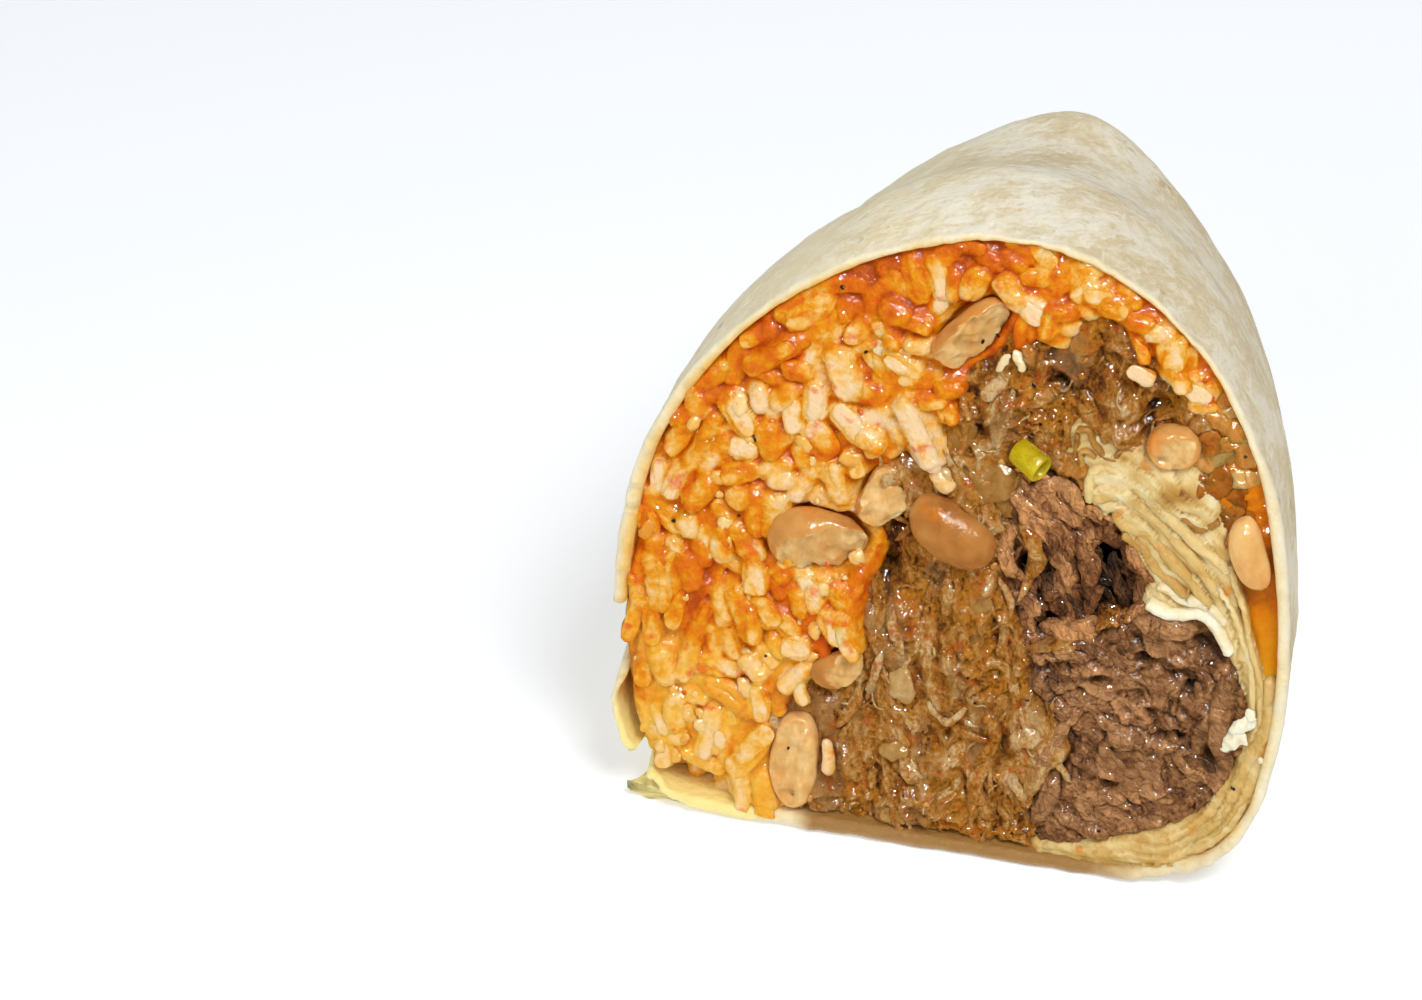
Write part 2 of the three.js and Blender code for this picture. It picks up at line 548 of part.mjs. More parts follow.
function fill(outline, front, pieces) {
  const us = outline.map(([u]) => u);
  const vs = outline.map(([, v]) => v);
  const [side, level] = BLOCK_MARGIN;
  const [low, high] = [[Math.min(...us), Math.min(...vs)], [Math.max(...us), Math.max(...vs)]];
  const box = [low[0] - side, low[1] - level, high[0] + side, high[1] + level];
  const prism = sweep(outline, [FRONT, ...INNER_STATIONS]);
  let body = prism.intersect(roughBlock(reliefOf(front), front.cell, box));
  body = body.add(Manifold.union(pieces).intersect(prism));
  for (const { room } of beans) {
    body = body.subtract(room);
  }
  return largest(body.subtract(pepperRoom));
}

function riceSolid() {
  const random = makeRandom(GRAIN_SET.seed);
  const grains = GRAINS.map(([u, v, angle, length, width, forward]) => {
    const pitch = GRAIN_SET.pitch * (random() - 0.5);
    const out = GRAIN_SET.share * forward - GRAIN_SET.back;
    return spindle(u, v, degrees(angle), length, width, width, out, GRAIN_SET.sides, GRAIN_RINGS, pitch);
  });
  return fill(fields.rice, RICE_FRONT, grains);
}

function stewSolid() {
  return fill(fields.stew, STEW_FRONT, strips(STEW_STRIP, STEW_PLACES, drawFrom(STEW_STRIP.seed)));
}

function chunkSolid() {
  const draw = drawFrom(CHUNK_STRIP.seed);
  const pieces = strips(CHUNK_STRIP, CHUNK_PLACES, draw);
  pieces.push(loosePiece(CHUNK_EDGE.u, CHUNK_EDGE.v, CHUNK_EDGE, draw));
  return fill(fields.chunk, CHUNK_FRONT, pieces);
}

function shredSolid() {
  return fill(fields.shreds, SHRED_FRONT, strips(SHRED_STRIP, SHRED_PLACES, drawFrom(SHRED_STRIP.seed)));
}

function pocketSolid() {
  const draw = drawFrom(POCKET_LUMP.seed);
  const [from, to] = POCKET_LINE;
  const pieces = [];
  for (let k = 0; k < POCKET_LUMP.count; k += 1) {
    const t = k / (POCKET_LUMP.count - 1);
    const u = lerp(from[0], to[0], t) + draw(POCKET_SPREAD);
    pieces.push(loosePiece(u, lerp(from[1], to[1], t), POCKET_LUMP, draw));
  }
  return fill(fields.side_pocket, POCKET_FRONT, pieces);
}

// ---- finished group ----
const group = new THREE.Group();

function addNode(name, solid, color, roughness) {
  const mesh = solid.getMesh();
  const stride = mesh.numProp;
  const count = mesh.vertProperties.length / stride;
  const positions = new Float32Array(count * 3);
  for (let i = 0; i < count; i += 1) {
    positions.set(mesh.vertProperties.slice(i * stride, i * stride + 3), i * 3);
  }
  let geometry = new THREE.BufferGeometry();
  geometry.setAttribute('position', new THREE.BufferAttribute(positions, 3));
  geometry.setIndex(new THREE.BufferAttribute(new Uint32Array(mesh.triVerts), 1));
  geometry = mergeVertices(geometry, 1e-4);
  const material = new THREE.MeshStandardMaterial({ color, roughness, metalness: 0 });
  const node = new THREE.Mesh(geometry, material);
  node.name = name;
  group.add(node);
}

addNode('tortilla', tortillaSolid(), 0xe3d8bd, 0.8);
addNode('rice', riceSolid(), 0xe6b083, 0.55);
addNode('stewed_meat', stewSolid(), 0xa47a45, 0.5);
addNode('meat_chunk', chunkSolid(), 0x80604f, 0.6);
addNode('meat_shreds', shredSolid(), 0x6d4a3a, 0.6);
addNode('bean_mash', pocketSolid(), 0xc38c68, 0.5);
const pocketSpace = sweep(fields.side_pocket, [FRONT, ...INNER_STATIONS]);
beans.forEach(({ spec, solid }, index) => {
  let body = solid.intersect(spec[0] === 'bean_pale_right' ? pocketSpace : openSolid);
  beans.slice(0, index).forEach(({ room }) => {
    body = body.subtract(room);
  });
  addNode(spec[0], largest(body), 0xc08b62, 0.35);
});

function pepperBore() {
  const { right, down, forward, length, width, pitch } = PEPPER_BORE;
  const [u, v] = [PEPPER.u + right, PEPPER.v - down];
  const out = PEPPER.forward + forward;
  return spindle(u, v, PEPPER.angle, length, width, width, out, ROUND_SIDES, GRAIN_RINGS, pitch);
}
addNode('pepper_piece', largest(pepperSolid(0).subtract(pepperBore())), 0xc4b023, 0.35);

export default group;
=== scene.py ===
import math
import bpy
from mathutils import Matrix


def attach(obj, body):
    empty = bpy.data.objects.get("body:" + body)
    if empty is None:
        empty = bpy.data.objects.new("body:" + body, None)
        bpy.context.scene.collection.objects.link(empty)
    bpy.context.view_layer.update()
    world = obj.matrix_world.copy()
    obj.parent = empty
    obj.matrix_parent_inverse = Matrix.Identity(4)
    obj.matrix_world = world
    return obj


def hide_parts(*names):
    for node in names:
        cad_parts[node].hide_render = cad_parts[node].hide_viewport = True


bl_info = {
    "name": "Burrito Half",
    "version": (1, 0, 0),
    "blender": (4, 5, 0),
    "location": "View3D > Sidebar > Burrito",
    "description": "Half of a cut burrito: tortilla, rice, beans and beef as separate detailed pieces",
    "category": "Add Mesh",
}

import bpy
import numpy as np
from bpy.props import FloatProperty, FloatVectorProperty, IntProperty, PointerProperty
from mathutils import Matrix

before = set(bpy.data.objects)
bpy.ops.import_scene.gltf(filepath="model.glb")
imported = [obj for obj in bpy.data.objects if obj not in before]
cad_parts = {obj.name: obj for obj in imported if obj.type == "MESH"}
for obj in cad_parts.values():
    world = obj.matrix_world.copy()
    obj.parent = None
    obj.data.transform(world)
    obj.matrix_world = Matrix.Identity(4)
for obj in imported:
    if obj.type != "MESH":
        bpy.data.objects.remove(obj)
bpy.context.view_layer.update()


def table(text):
    """Rows of numbers from text that holds a comma between rows."""
    return np.array([row.split() for row in text.split(",")], float)


# ---- body of the roll, in millimetres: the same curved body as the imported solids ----
MM = 0.001
LENGTH = 104.0
HEIGHT = 88.0
# The middle of the face, to the right, and the level of its core.
MIDDLE = -3.0
CORE_LEVEL = 0.45 * HEIGHT
# How far the section leans at the cut and at the end of the tail.
CUT_TILT, END_TILT = math.radians(15), math.radians(-12.65)
# Width and height at even steps from the cut to the tail, as shares of those at the cut.
WIDTHS = (1, 1.004, 0.957, 0.886, 0.74)
HEIGHTS = (1, 0.975, 0.878, 0.83, 0.79)
# How much narrower the top is at the tail, as a share, and how far the middle has drifted to the right there.
TOP_NARROWING, SIDE_DRIFT = 0.354, -1.37
# The soft fold before the tail: its rise, its station and span, its place to the right and its width.
FOLD_RISE, FOLD_AT, FOLD_SPAN, FOLD_X, FOLD_WIDTH = 4.3, 0.84, 0.14, 5.8, 12.9
# The closed tail: its first station, how square it closes, and the share of the height that it closes on.
CAP_START, CAP_POWER, CAP_LEVEL = 0.7, 2.3, 0.4
# Where the foot of the cut's middle stands in the row frame.
CENTRE_X, CENTRE_Y = 3.0, -48.89
# Nothing comes further forward than this.
FRONT_LIMIT = -49.9
# Stations are 0 at the cut and 1 at the end of the tail; fillings end at the last of these.
BACK_STATION = 0.94
WALL_STATIONS = (0.11, 0.2, 0.3, 0.41, 0.48, 0.55, 0.62, 0.7, 0.77, 0.84, 0.9, BACK_STATION)

# Outline of the cut face, bottom left corner first, anticlockwise seen from the front.
OUTLINE = table("""
-30 0, -2 0, 25 0.3, 36.3 5.2, 41.2 14, 42.8 30, 40.8 48, 36.5 62, 27 76, 14 85.2, 1 88, -13 85, -27 77,
-38.5 65.5, -46 52, -48.5 38, -48 20, -42.5 4.5
""")

# Areas of the cut face, each a closed outline in (right, up).
INNER_LEAF = table("""
11 62, 12 63, 13.5 62.5, 15 60.5, 20 61, 22 59.5, 25 58.5, 28 59.5, 29.5 57.5, 31.5 52, 33.5 45, 34.5 40.5,
36.5 37, 38.5 32, 41.2 28, 41.4 21, 39.8 15, 36.5 8, 31 3.2, 24 1.2, 11 1.2, 11.5 2.6, 16 2.9, 19.5 4,
25.5 6, 30.5 8.5, 34.5 12, 36.5 16, 38 21.5, 38 26.5, 36.4 32, 33.5 35.5, 30.5 38.5, 23 39.5, 24 43,
20.5 47.5, 17.5 52, 16 51.5, 14 54, 13.5 58, 11 59
""")
SIDE_POCKET = table("""
31 67, 29.5 65.5, 28 64.5, 28 60.5, 30.5 55, 33.5 45, 35 41, 38 34.5, 38.5 31, 39.5 22, 44 22, 45 33, 41 72,
34 71
""")
RICE_AREA = table("""
31 66.2, 26.5 69.5, 22 71.5, 20 75, 13 78, 10.5 77, 9 73, 6.5 72.5, 2 74.5, 1 71.5, -3 67.5, -5.5 60,
-4.5 55.5, -8.5 54, -11 56, -14.5 51, -12.5 42, -14.5 36, -14 27, -19.5 24, -25.6 16, -25 8, -20.5 0.5,
-20.5 -3, -50 -4, -54.5 80.5, -7.5 90, 18.5 90.5, 32.5 79.5, 33 68.5
""")
CHUNK_AREA = table("""
8 29.5, 15 32, 18 36, 22.5 36, 29.5 38.5, 32.5 38, 36 32, 41 20, 38 14.5, 30.5 6, 19.5 1.5, 12 1.5, 10 8,
13 13, 15 16.5, 12.5 21, 8.5 25
""")
SHRED_AREA = table("""
4.5 53, 11.5 55.5, 14.5 52, 18.5 51, 24.5 44.5, 24.5 38, 21 36.5, 17.5 35.5, 16 33, 13 31.5, 7.5 30.8,
6.5 34, 4 37, 3.5 40.5, 5 42.5, 2.5 48
""")

# Dark holes of each filling: (right, up, half width, half height, depth).
STEW_HOLES = table("""
-12 38.5 1.9 4 9, 3 75 2 1.6 5, -9.5 44.5 1.8 1.2 5, 8.6 41 1.6 2.6 7, 4 30 1.2 2.4 2.5, -13 21 1 2 2.5,
13.5 12 1 3 4, -6 9 1.6 1 2.5, -1 60 1.6 1.6 4, 9 67 1.6 2 3.5, 15 72 1.4 1.2 3, -4 30 0.9 3 2.5,
21 66 2 1.2 3, 2 15 1 2.5 2
""")
CHUNK_HOLES = table("""
32.5 36 3 3 8, 28 21 2 0.9 3.5, 17.5 27.5 1.8 0.8 3, 23.5 31.5 1.3 0.8 3, 20.5 12.5 1.2 0.8 2.5,
34 19.5 1.2 1.4 4, 13.5 14 0.8 2.4 4, 30 28 1.2 1 4
""")
SHRED_HOLES = table("""
8 40.5 1.5 3 8, 17 39.8 2.4 3.8 11, 17.5 45.5 1.6 1.8 7, 9.5 33.5 2.2 1.4 6, 14.5 49 1.4 1 5,
21.5 41.5 1 2 6, 11.5 36.5 1 1.4 5
""")
POCKET_HOLES = ((32, 61.5, 1.3, 1.3, 3), (31, 51, 1.2, 2, 3.5))
RICE_HOLES = ((-37.0, 2.5, 8.0, 3.2, 7.0),)

# Large strips of each meat: (right, up, angle in degrees, length, width, lift, tone).
STEW_STRIPS = table("""
5.2 9 -84 9 2.4 0.7 0.62, -9.5 30.4 -72 6 1.3 0.6 0.7, -12 23.4 78 9 1.4 0.9 0.86,
-6.4 10 -48 5 2.2 0.6 0.72, 8.8 18.8 10 4 3.2 0.4 0.8, 8.6 11 -60 4.4 1.6 0.5 0.8, 6.2 44 -82 9 2.2 1 0.6,
3.2 16.2 80 8 1.8 0.2 0.6, -15.5 18 70 7 1.8 0.4 0.72, -3.4 36.4 86 7 1.6 0.5 0.66,
4.2 30.2 94 7 1.5 0.6 0.72, 13 64.6 -60 6 2.4 0.6 0.5, -13.8 33.4 98 9 2 0.5 0.72, 6.8 66 30 5 2.2 0.5 0.74,
0.4 66.8 46 4.6 1.8 0.6 0.78
""")
CHUNK_STRIPS = table("""
35.4 24.8 97 14 3.2 0.9 0.5, 26.5 36.8 -5 10 2.6 0.7 0.66, 12.5 17.5 62 9 2.4 0.7 0.66,
12.2 9.5 75 9 2.2 0.6 0.62, 17.5 6.5 -15 8 2.2 0.1 0.6, 31.2 35.6 -42 6 2.2 0.1 0.5
""")
SHRED_STRIPS = table("""
12.6 43.5 -62 9 3.2 0.9 0.5, 6.8 43.8 -84 9 1.9 1.1 0.62, 20.3 41.5 -70 9 2.6 0.8 0.55,
22.4 44.8 -52 8 2.2 0.6 0.62, 12 49.5 -30 8 2.4 0.7 0.6, 16.8 48.8 -48 8 2.6 0.6 0.5,
12.2 38.2 -50 7 2.4 0.4 0.46, 13.5 33.6 12 9 3 0.7 0.74, 6.5 35.5 -35 7 2.6 0.4 0.66,
20.8 37.4 28 7 3 0.9 0.76, 14.6 41 -80 7 1.6 0.6 0.6, 9.4 46.4 -58 8 2.2 0.4 0.45,
16.2 37.2 70 6 1.7 0.3 0.66, 10.2 52.4 -20 7 2 0.5 0.55, 5.4 49.6 -65 7 2 0.3 0.6
""")

# Beans: name, right, up, length, width, depth, angle in degrees, forward offset, bend, bites, inner paleness.
# A bite is (along, across, out, distance): the side where the bean is broken off, and how far out.
BEANS = (
    ("bean_whole", -3.3, 46, 12.5, 7.7, 6.4, -30, -0.9, 0.35, (), -0.08),
    ("bean_cut_top", -2.9, 73.8, 12, 6.8, 6.4, 46, -0.5, 0.8, ((0.1, -0.7, 0.7, 0.3),), 0.3),
    ("bean_broken_left", -21, 42, 13.6, 9.4, 6.8, -4, -0.5, 0.3, ((0.35, -0.5, 0.8, 0.7),), 0.3),
    ("bean_half_middle", -12.9, 49.4, 8.6, 6.6, 5.8, 66, -1.4, 0.8, ((0.1, -0.45, 0.88, 0.6),), 0.2),
    ("bean_round_right", 24.3, 62.2, 7.0, 6, 5.4, 6, -0.9, 0.2, ((0.0, -0.2, 0.97, 1.5),), 0.45),
    ("bean_pale_right", 35.6, 49, 10.2, 4.8, 4.8, -70, -1.1, 0.6, (), 0.9),
    ("bean_pale_low", -22, 9.9, 13.8, 6.6, 5.8, -90, -1.3, 0.3, ((0.0, 0.1, 0.99, 1.5),), 0.8),
    ("bean_skin_low", -17, 24.2, 7.6, 5, 4.2, 28, -1.0, 0.6, ((0.5, -0.3, 0.8, 1.1),), 0.1),
)
# Lumps of mash, in (right, up).
MASH_LUMPS = table("""
31.4 65.6, 31.8 61.8, 30.4 57.4, 33.2 59.6, 31.6 54.2, 33.4 56.4, 31.6 63.6, 29.4 61.4, 30.8 67.6,
30.2 65.4, 32.6 51.8, 29 58.6, 34.4 53, 28.6 64
""")
# The pepper tube: its middle as (right, up, forward), its angle in the face and how far its lip tips out.
PEPPER_AT, PEPPER_ANGLE, PEPPER_TIP = (5.9, 57.9, 0.4), -24, 26
# Its wall from the closed end over the lip and back inside, as (along, radius).
PEPPER_WALL = table("""
-2.3 0.3, -2.35 1.4, -2 1.9, -0.8 2, 0.8 2.05, 2.1 2.1, 2.4 2, 2.45 1.75, 2.2 1.55, 0.8 1.45, -0.6 1.35,
-1.4 1, -1.5 0.3
""")

# Rice grains that show: (right, up, angle in degrees, length, width, forward offset).
GRAINS = table("""
-24.6 73.6 36 5.8 2.7 0, -29.2 66.9 36 6.7 2.9 0.5, -30.4 60.8 97 3.5 2.5 0, -33.1 58.3 127 5.5 3.4 0.5,
-22.9 61.4 93 4.5 2.9 0.5, -19.4 66 115 6.5 3.4 0.3, -16.6 63.7 0 5 3 0.3, -18.2 59.3 132 5 3 0.8,
-15.1 57.3 153 3.5 2.7 1, -8.9 59.1 120 9.3 2.5 1.5, -7.7 63.8 13 3.8 2.2 0.5, -5.3 65.7 8 3.3 2.4 0.5,
-5.2 53 136 3.2 2.7 0, -17.1 53.8 113 3.6 2.7 0, -19.2 50.7 108 5 2.5 0.5, -23.6 49.9 65 4.8 2.4 0.5,
-26.5 50 12 3.2 2.5 1, -27.7 45 90 5.2 2.4 1, -26.4 46.2 100 3.2 2.2 0.8, -31.9 46.6 173 3.2 3 0.5,
-29.7 45.1 97 5.8 2.7 0.5, -32.3 50 24 4.5 2.7 0.3, -27.6 51.5 23 4.3 2.2 0.5, -28.5 55.2 112 4.5 3 0.2,
-32 53.5 169 3.2 3 0.2, -27 61.6 48 3.8 2.7 0.2, -25.4 59.2 94 4.2 2.7 0.2, -38.3 51.8 61 5.1 2.4 0,
-36.8 55.8 67 4.1 2.4 0, -41 47.4 71 4 2.5 0.3, -37.4 46.7 51 4.8 2.9 0.8, -43.2 47.4 96 4.4 2.4 -0.5,
-41.8 42.2 140 4.7 2.4 -0.5, -38.9 58.7 125 3.9 2.7 -0.5, -20 74.4 101 3.2 2.2 -0.8,
-17.3 77.7 121 3.7 2.2 -0.8, -13.3 75.4 158 3.7 2.7 1, -10.4 74.2 167 3.8 2.2 1, -9.8 71.1 5 3.2 2.2 0.5,
-22.4 69.6 62 8.1 2.7 -0.6, -11.1 79.9 109 5.5 2.7 -0.2, -8.2 80.5 116 5.3 2.7 -0.2,
-22 56.2 125 4.6 3.4 0.3, -11.5 59 127 3.2 2.2 0.3, -34.2 44.2 143 3.2 2.2 0.2, -34 39.8 101 4.3 2.2 0.3,
-36.5 39.5 98 4.3 2.4 0.1, -40.3 37.8 117 3.2 2.4 0.1, -30.7 40.4 134 5.2 2.5 0.4, -25.5 65.2 8 3.2 2.5 0.2,
-26.3 69.4 15 3.2 2.2 -0.2, -37.3 62.5 39 5.4 2.4 -0.8, -33.9 65.1 79 5.1 2.4 -0.8, -43.2 37.3 87 3.2 2.2 0,
-38.9 41.6 107 3.2 3 -0.1, -24.1 53.6 106 3.2 2.4 0.1, -20.7 52.2 126 3.2 2.7 0.1,
-27.4 72.1 153 3.2 2.2 -0.6, -14.5 81 28 3.2 2.2 -0.6, -43 26.9 95 5.4 2.5 0.3, -43.4 21.3 85 6.4 2.5 0.3,
-41 21 112 4.9 3.2 0.6, -37.6 22.7 75 6 2.2 0.6, -36.3 28 73 5.8 2.2 0.8, -42.6 33 104 7.2 3 0.2,
-40.4 33.4 91 6.9 2.7 0.2, -38.2 30.5 64 7 3 0.4, -38 35.1 106 4.7 2.7 0.1, -33.5 30.9 104 5 2.7 0,
-32 26.2 111 4.8 2.4 0, -30.5 30.3 114 7.4 3 0.6, -29.1 35.8 99 4.1 3 1, -27.6 31 137 4.3 3.2 0.7,
-24.8 29.6 144 4.3 2.7 0.5, -22.8 26.6 2 3.2 3.2 0.8, -28.5 22.6 138 4 2.5 0.8, -25.6 26.3 124 3.2 2.2 0.2,
-22.5 22.1 46 4.8 2.7 0.8, -21.8 20.2 110 3.2 2.2 0.8, -18.2 30.2 123 4.3 3 1, -16.1 29.3 114 5.9 2.7 1,
-23 32.8 106 3.4 2.2 0.4, -20.9 33.7 107 3.2 2.2 0.2, -33.7 21.9 179 6.1 2.7 0.1, -31.6 17.4 153 6.8 2.2 0,
-27.5 17.5 107 4.6 2.7 0.4, -24.4 18 94 3.2 2.2 0.2, -27.8 10.7 57 7.8 2.9 1.2, -34.1 12 82 6.2 2.7 0.5,
-38.9 14.2 94 5.2 3 0, -28.8 4.4 100 6.3 2.4 0.8, -25.6 4 100 6.3 3 0.8, -17.4 11.6 96 4.6 2.2 1.6,
-42.8 37 120 3.8 2.4 0.2, -36.7 37.8 109 3.3 2.4 0.2, -34.1 38.8 117 3.2 2.4 0.3,
-30.2 39.2 144 3.5 2.7 0.4, -26.1 34.6 120 3.2 2.2 -0.2, -26.7 24.5 135 3.2 2.2 -0.2,
-36.3 16.8 177 3.5 2.2 -0.5, -39.8 11.1 161 4.6 2.4 -0.2, -34.6 7.6 161 5.3 2.4 -0.2,
-3.1 80.6 75 3.8 2.9 0.6, -5.9 79.9 92 3.7 2.2 0.4, 1.5 80 137 4.3 3 0.6, 4.4 78.2 145 3.4 3 0.5,
6.7 76.3 90 3.4 2.2 1, 8 78.2 8 3.2 2.2 0.9, 4.3 82 3 3.2 2.2 -0.4, 7.2 82 100 3.2 2.2 -0.3,
12.7 81 179 3.2 2.9 0.2, 10.7 81.6 61 3.2 2.2 0, 14.9 79.7 171 3.2 2.9 0.6, 18.5 78 169 3.2 2.5 0.4,
21 77 1 3.2 2.5 0.3, 22.9 74.8 103 3.9 3.2 0.9, 23.5 71.4 137 3.9 3 0.4, 26.2 70.1 151 3.9 2.7 0.4,
28.1 67.1 154 4.7 2.4 -0.2, 18.7 74.5 119 3.2 2.2 0.5, 19.3 71.3 160 3.2 2.4 0.4, -5.3 62.6 120 3.2 2.4 0.3,
1.3 84 166 3.2 2.4 -0.4, -1.6 83.6 146 3.2 2.2 -0.3, 16.5 81.2 145 3.2 2.2 -0.5
""")

# Sheets of the crumpled inner end: thickness, forward offset, tone (0 white, 1 soaked yellow), line.
FOLD_SHEETS = (
    (0.8, 0.5, 0.75, table("""11.6 62.4, 13.2 62.5, 14 61, 15.2 59.7, 16.7 59.4, 17.5 60.3, 18.9 60.8,
19.9 59.9, 20.3 58.5, 22 56.6, 24.2 54.7, 26.8 52.6, 28.7 51.3, 30.2 52, 31.2 52.8""")),
    (0.7, 0.2, 0.8, table("""13.3 54.6, 11.9 56.9, 11.7 59.5, 11.8 62""")),
    (0.6, 0.3, 0.6, table("""13.4 56.5, 12.8 58, 12.6 59.6, 13.5 59.7, 14.7 58.5""")),
    (1.7, 1.1, 0.3, table("""14.4 52.9, 13.9 55, 14.3 57, 15.9 57.6, 18.4 56.9, 20.9 55.4, 23.1 53.6,
25.7 51.6, 28.9 49.2, 31.6 47.2, 33.1 45.9""")),
    (1.5, 0.8, 0.4, table("""14.6 53.2, 16.3 53.9, 18.1 54, 20.1 53.7, 22.1 52.4, 24.6 50.3, 27.4 47.9,
30.2 44.9, 32 42.6""")),
    (1.6, 0.5, 0.45, table("""18.1 52.3, 18.4 50.9, 20.2 49.9, 22.6 49.2, 24.2 47.6, 26.4 45.6, 28.9 43.2,
31.2 40.6""")),
    (1.4, 0.1, 0.55, table("""19 49.2, 21.2 47.8, 22.9 45.8, 24.4 44, 26.4 42.9, 28.6 41.2""")),
    (1.8, 1, 0, table("""23 39.9, 25 39.1, 27.7 39, 30 39.6, 31.9 38.6, 33.4 36.6, 34.5 34.6""")),
    (1.5, 0.6, 0.1, table("""24.2 42.6, 25.8 42.2, 27.1 41.3, 29.4 41.1, 31.6 40.2, 33.4 38.4""")),
    (0.7, 0.4, 0.25, table("""31.6 44.1, 33 42.4, 34.4 40.4, 35.5 38, 36.4 35.5, 37.6 31.9, 38.2 27""")),
    (0.8, 0.3, 0.35, table("""33.1 46.9, 34.2 44.2, 35.5 41.2, 36.4 38.1, 37.5 35.1, 38.9 30.5,
39.2 25""")),
)
# Line that the pages between the sheets follow.
FOLD_PAGES = ((13, 56.5), (16, 57.6), (21, 55.4), (26, 51.5), (33, 46), (36.8, 37), (38.6, 28), (38.3, 20))

# The middle of the one curled strip of the stew.
CURL_AT = (-1.9, 21.6, 0.5)
# Soft onion in the stew: (right, up, angle in degrees, length, width, forward offset, tone).
GEL_LUMPS = table("""
-8.4 22.7 100 5.4 3.4 0 0.75, -8.8 12.9 8 4.4 2.4 0 0.6, 1 36 60 3.8 3 0 0.5, -8 3.6 0 3.8 2.4 0.2 0.5,
-5 53.3 80 3.2 2.8 0.4 0.8, 0.6 53.2 20 8.5 5.4 -0.6 0.3, 0.6 30.6 76 5 2.6 -0.1 0.35,
-3.6 58 70 6 3.4 -0.5 0.35, 3.4 50.2 -30 5 3.2 -0.4 0.4
""")
# White flakes of dough: (right, up, forward, length, width, thickness, tone).
DOUGH_CRUMBS = table("""
36.4 23.2 1.2 4 2.4 1.1 0.8, 37.4 25.4 1.2 3.4 2 1 0.85, 38.2 27 1 2 1.3 0.8 0.8,
40.2 20.6 0.3 1 0.8 0.6 0.7, 1.4 70.6 0.7 3.4 1 0.6 0.4, 3.4 71.2 0.6 3 1.3 0.6 0.3
""")

# How many places are drawn for the loose fibres of each meat.
STEW_FIBRES, STEW_HAIRS, CHUNK_FIBRES, SHRED_FIBRES = 120, 24, 36, 70
# Starts of the random draws for the noise, the mash and the small bits.
SEED, MASH_SEED, BITS_SEED = 5, 59, 71
# More than any distance in the roll, in millimetres.
FAR = 99.0

# The fixed camera: its place in millimetres and the ways to its right, up and backwards.
CAMERA_AT = (77.74, -480.90, 376.42)
CAMERA_RIGHT = (0.97030, 0.24192, 0.0)
CAMERA_UP = (-0.14220, 0.57033, 0.80903)
CAMERA_BACK = (0.19572, -0.78499, 0.58779)


def srgb(red, green, blue):
    """Linear colour of three 0 to 255 screen values."""
    return tuple(c / 3294.6 if c <= 10 else ((c / 255 + 0.055) / 1.055) ** 2.4 for c in (red, green, blue))


def colour(label, text, red, green, blue):
    """Colour setting from three 0 to 255 screen values."""
    return FloatVectorProperty(
        name=label, description=text, subtype="COLOR", min=0, max=1, default=srgb(red, green, blue)
    )


def amount(label, text, default, unit="LENGTH"):
    """Setting of one number with a unit."""
    return FloatProperty(name=label, description=text, default=default, unit=unit)


# ---- what a user would change ----
class TortillaLook(bpy.types.PropertyGroup):
    wall: amount("Wall", "Thickness of the sheet", 0.0021)
    wrinkle: amount("Wrinkle depth", "Depth of the soft dents outside", 0.0004)
    dough: colour("Dough", "Plain outside of the sheet", 232, 216, 180)
    flour: colour("Flour", "Pale floury patches", 250, 244, 228)
    toast: colour("Toast", "Dull beige patches between the flour", 210, 189, 150)
    edge: colour("Cut edge", "Inside of the sheet where it is cut", 240, 222, 176)


class RiceLook(bpy.types.PropertyGroup):
    pale: colour("Pale grain", "Grain with no sauce on it", 240, 188, 96)
    coated: colour("Coated grain", "Grain with a thin coat of sauce", 232, 152, 8)
    # Sauce tint, which also serves as painted shade deep between the grains.
    sauce: colour("Sauce", "Red-orange sauce between the grains", 212, 96, 0)
    starch: colour("Starch", "Yellow starch at the lower left", 248, 190, 62)
    spacing: amount("Spacing", "Distance between the grains behind the front ones", 0.0027)
    seed: IntProperty(name="Seed", description="Start of the random draws for the rice", default=11)


class MeatLook(bpy.types.PropertyGroup):
    stew: colour("Stew", "Soft stewed meat", 182, 114, 22)
    # Painted shade: darkest tone of the stew, where it lies deep and in its hollows.
    stew_shade: colour("Stew crevice", "Stewed meat where it is deep and wet", 54, 26, 2)
    beef: colour("Beef", "Firm cut beef", 138, 88, 48)
    # Painted shade: darkest tone of the beef and the shreds, in their cracks, holes and deep places.
    beef_shade: colour("Beef crevice", "Beef in its cracks and holes", 34, 16, 8)
    fibre_width: amount("Fibre width", "Usual width of one meat fibre", 0.0011)
    seed: IntProperty(name="Seed", description="Start of the random draws for the fibres", default=23)


class BeanLook(bpy.types.PropertyGroup):
    skin: colour("Skin", "Brown bean skin", 184, 122, 56)
    inside: colour("Inside", "Broken inside of a bean", 224, 178, 108)
    pepper: colour("Pepper", "Green pepper flesh", 198, 174, 8)


class StageLook(bpy.types.PropertyGroup):
    floor: colour("Floor", "Plain pale floor", 244, 246, 250)
    key: amount("Key light", "Power of the large lamp above", 2.4, "POWER")
    fill: amount("Fill light", "Power of the front lamp", 1.1, "POWER")
    spark: amount("Glint light", "Power of the small lamp", 5.0, "POWER")
    lens: amount("Lens", "Focal length of the camera", 107.85, "CAMERA")


# ---- numbers and curves ----
LATTICE = np.random.default_rng(SEED).uniform(-1, 1, (32, 32, 32))


def smooth(low, high, x):
    """0 below low, 1 above high and an S curve between."""
    t = np.clip((x - low) / (high - low), 0, 1)
    return t * t * (3 - 2 * t)


def band(rise, full, fall, end, x):
    """0 below rise and above end, 1 from full to fall, and S curves between."""
    return smooth(rise, full, x) * (1 - smooth(fall, end, x))


def turned(a, b, angle):
    """Lengths of the step (a, b) along an axis at the angle and across it."""
    return a * np.cos(angle) + b * np.sin(angle), b * np.cos(angle) - a * np.sin(angle)


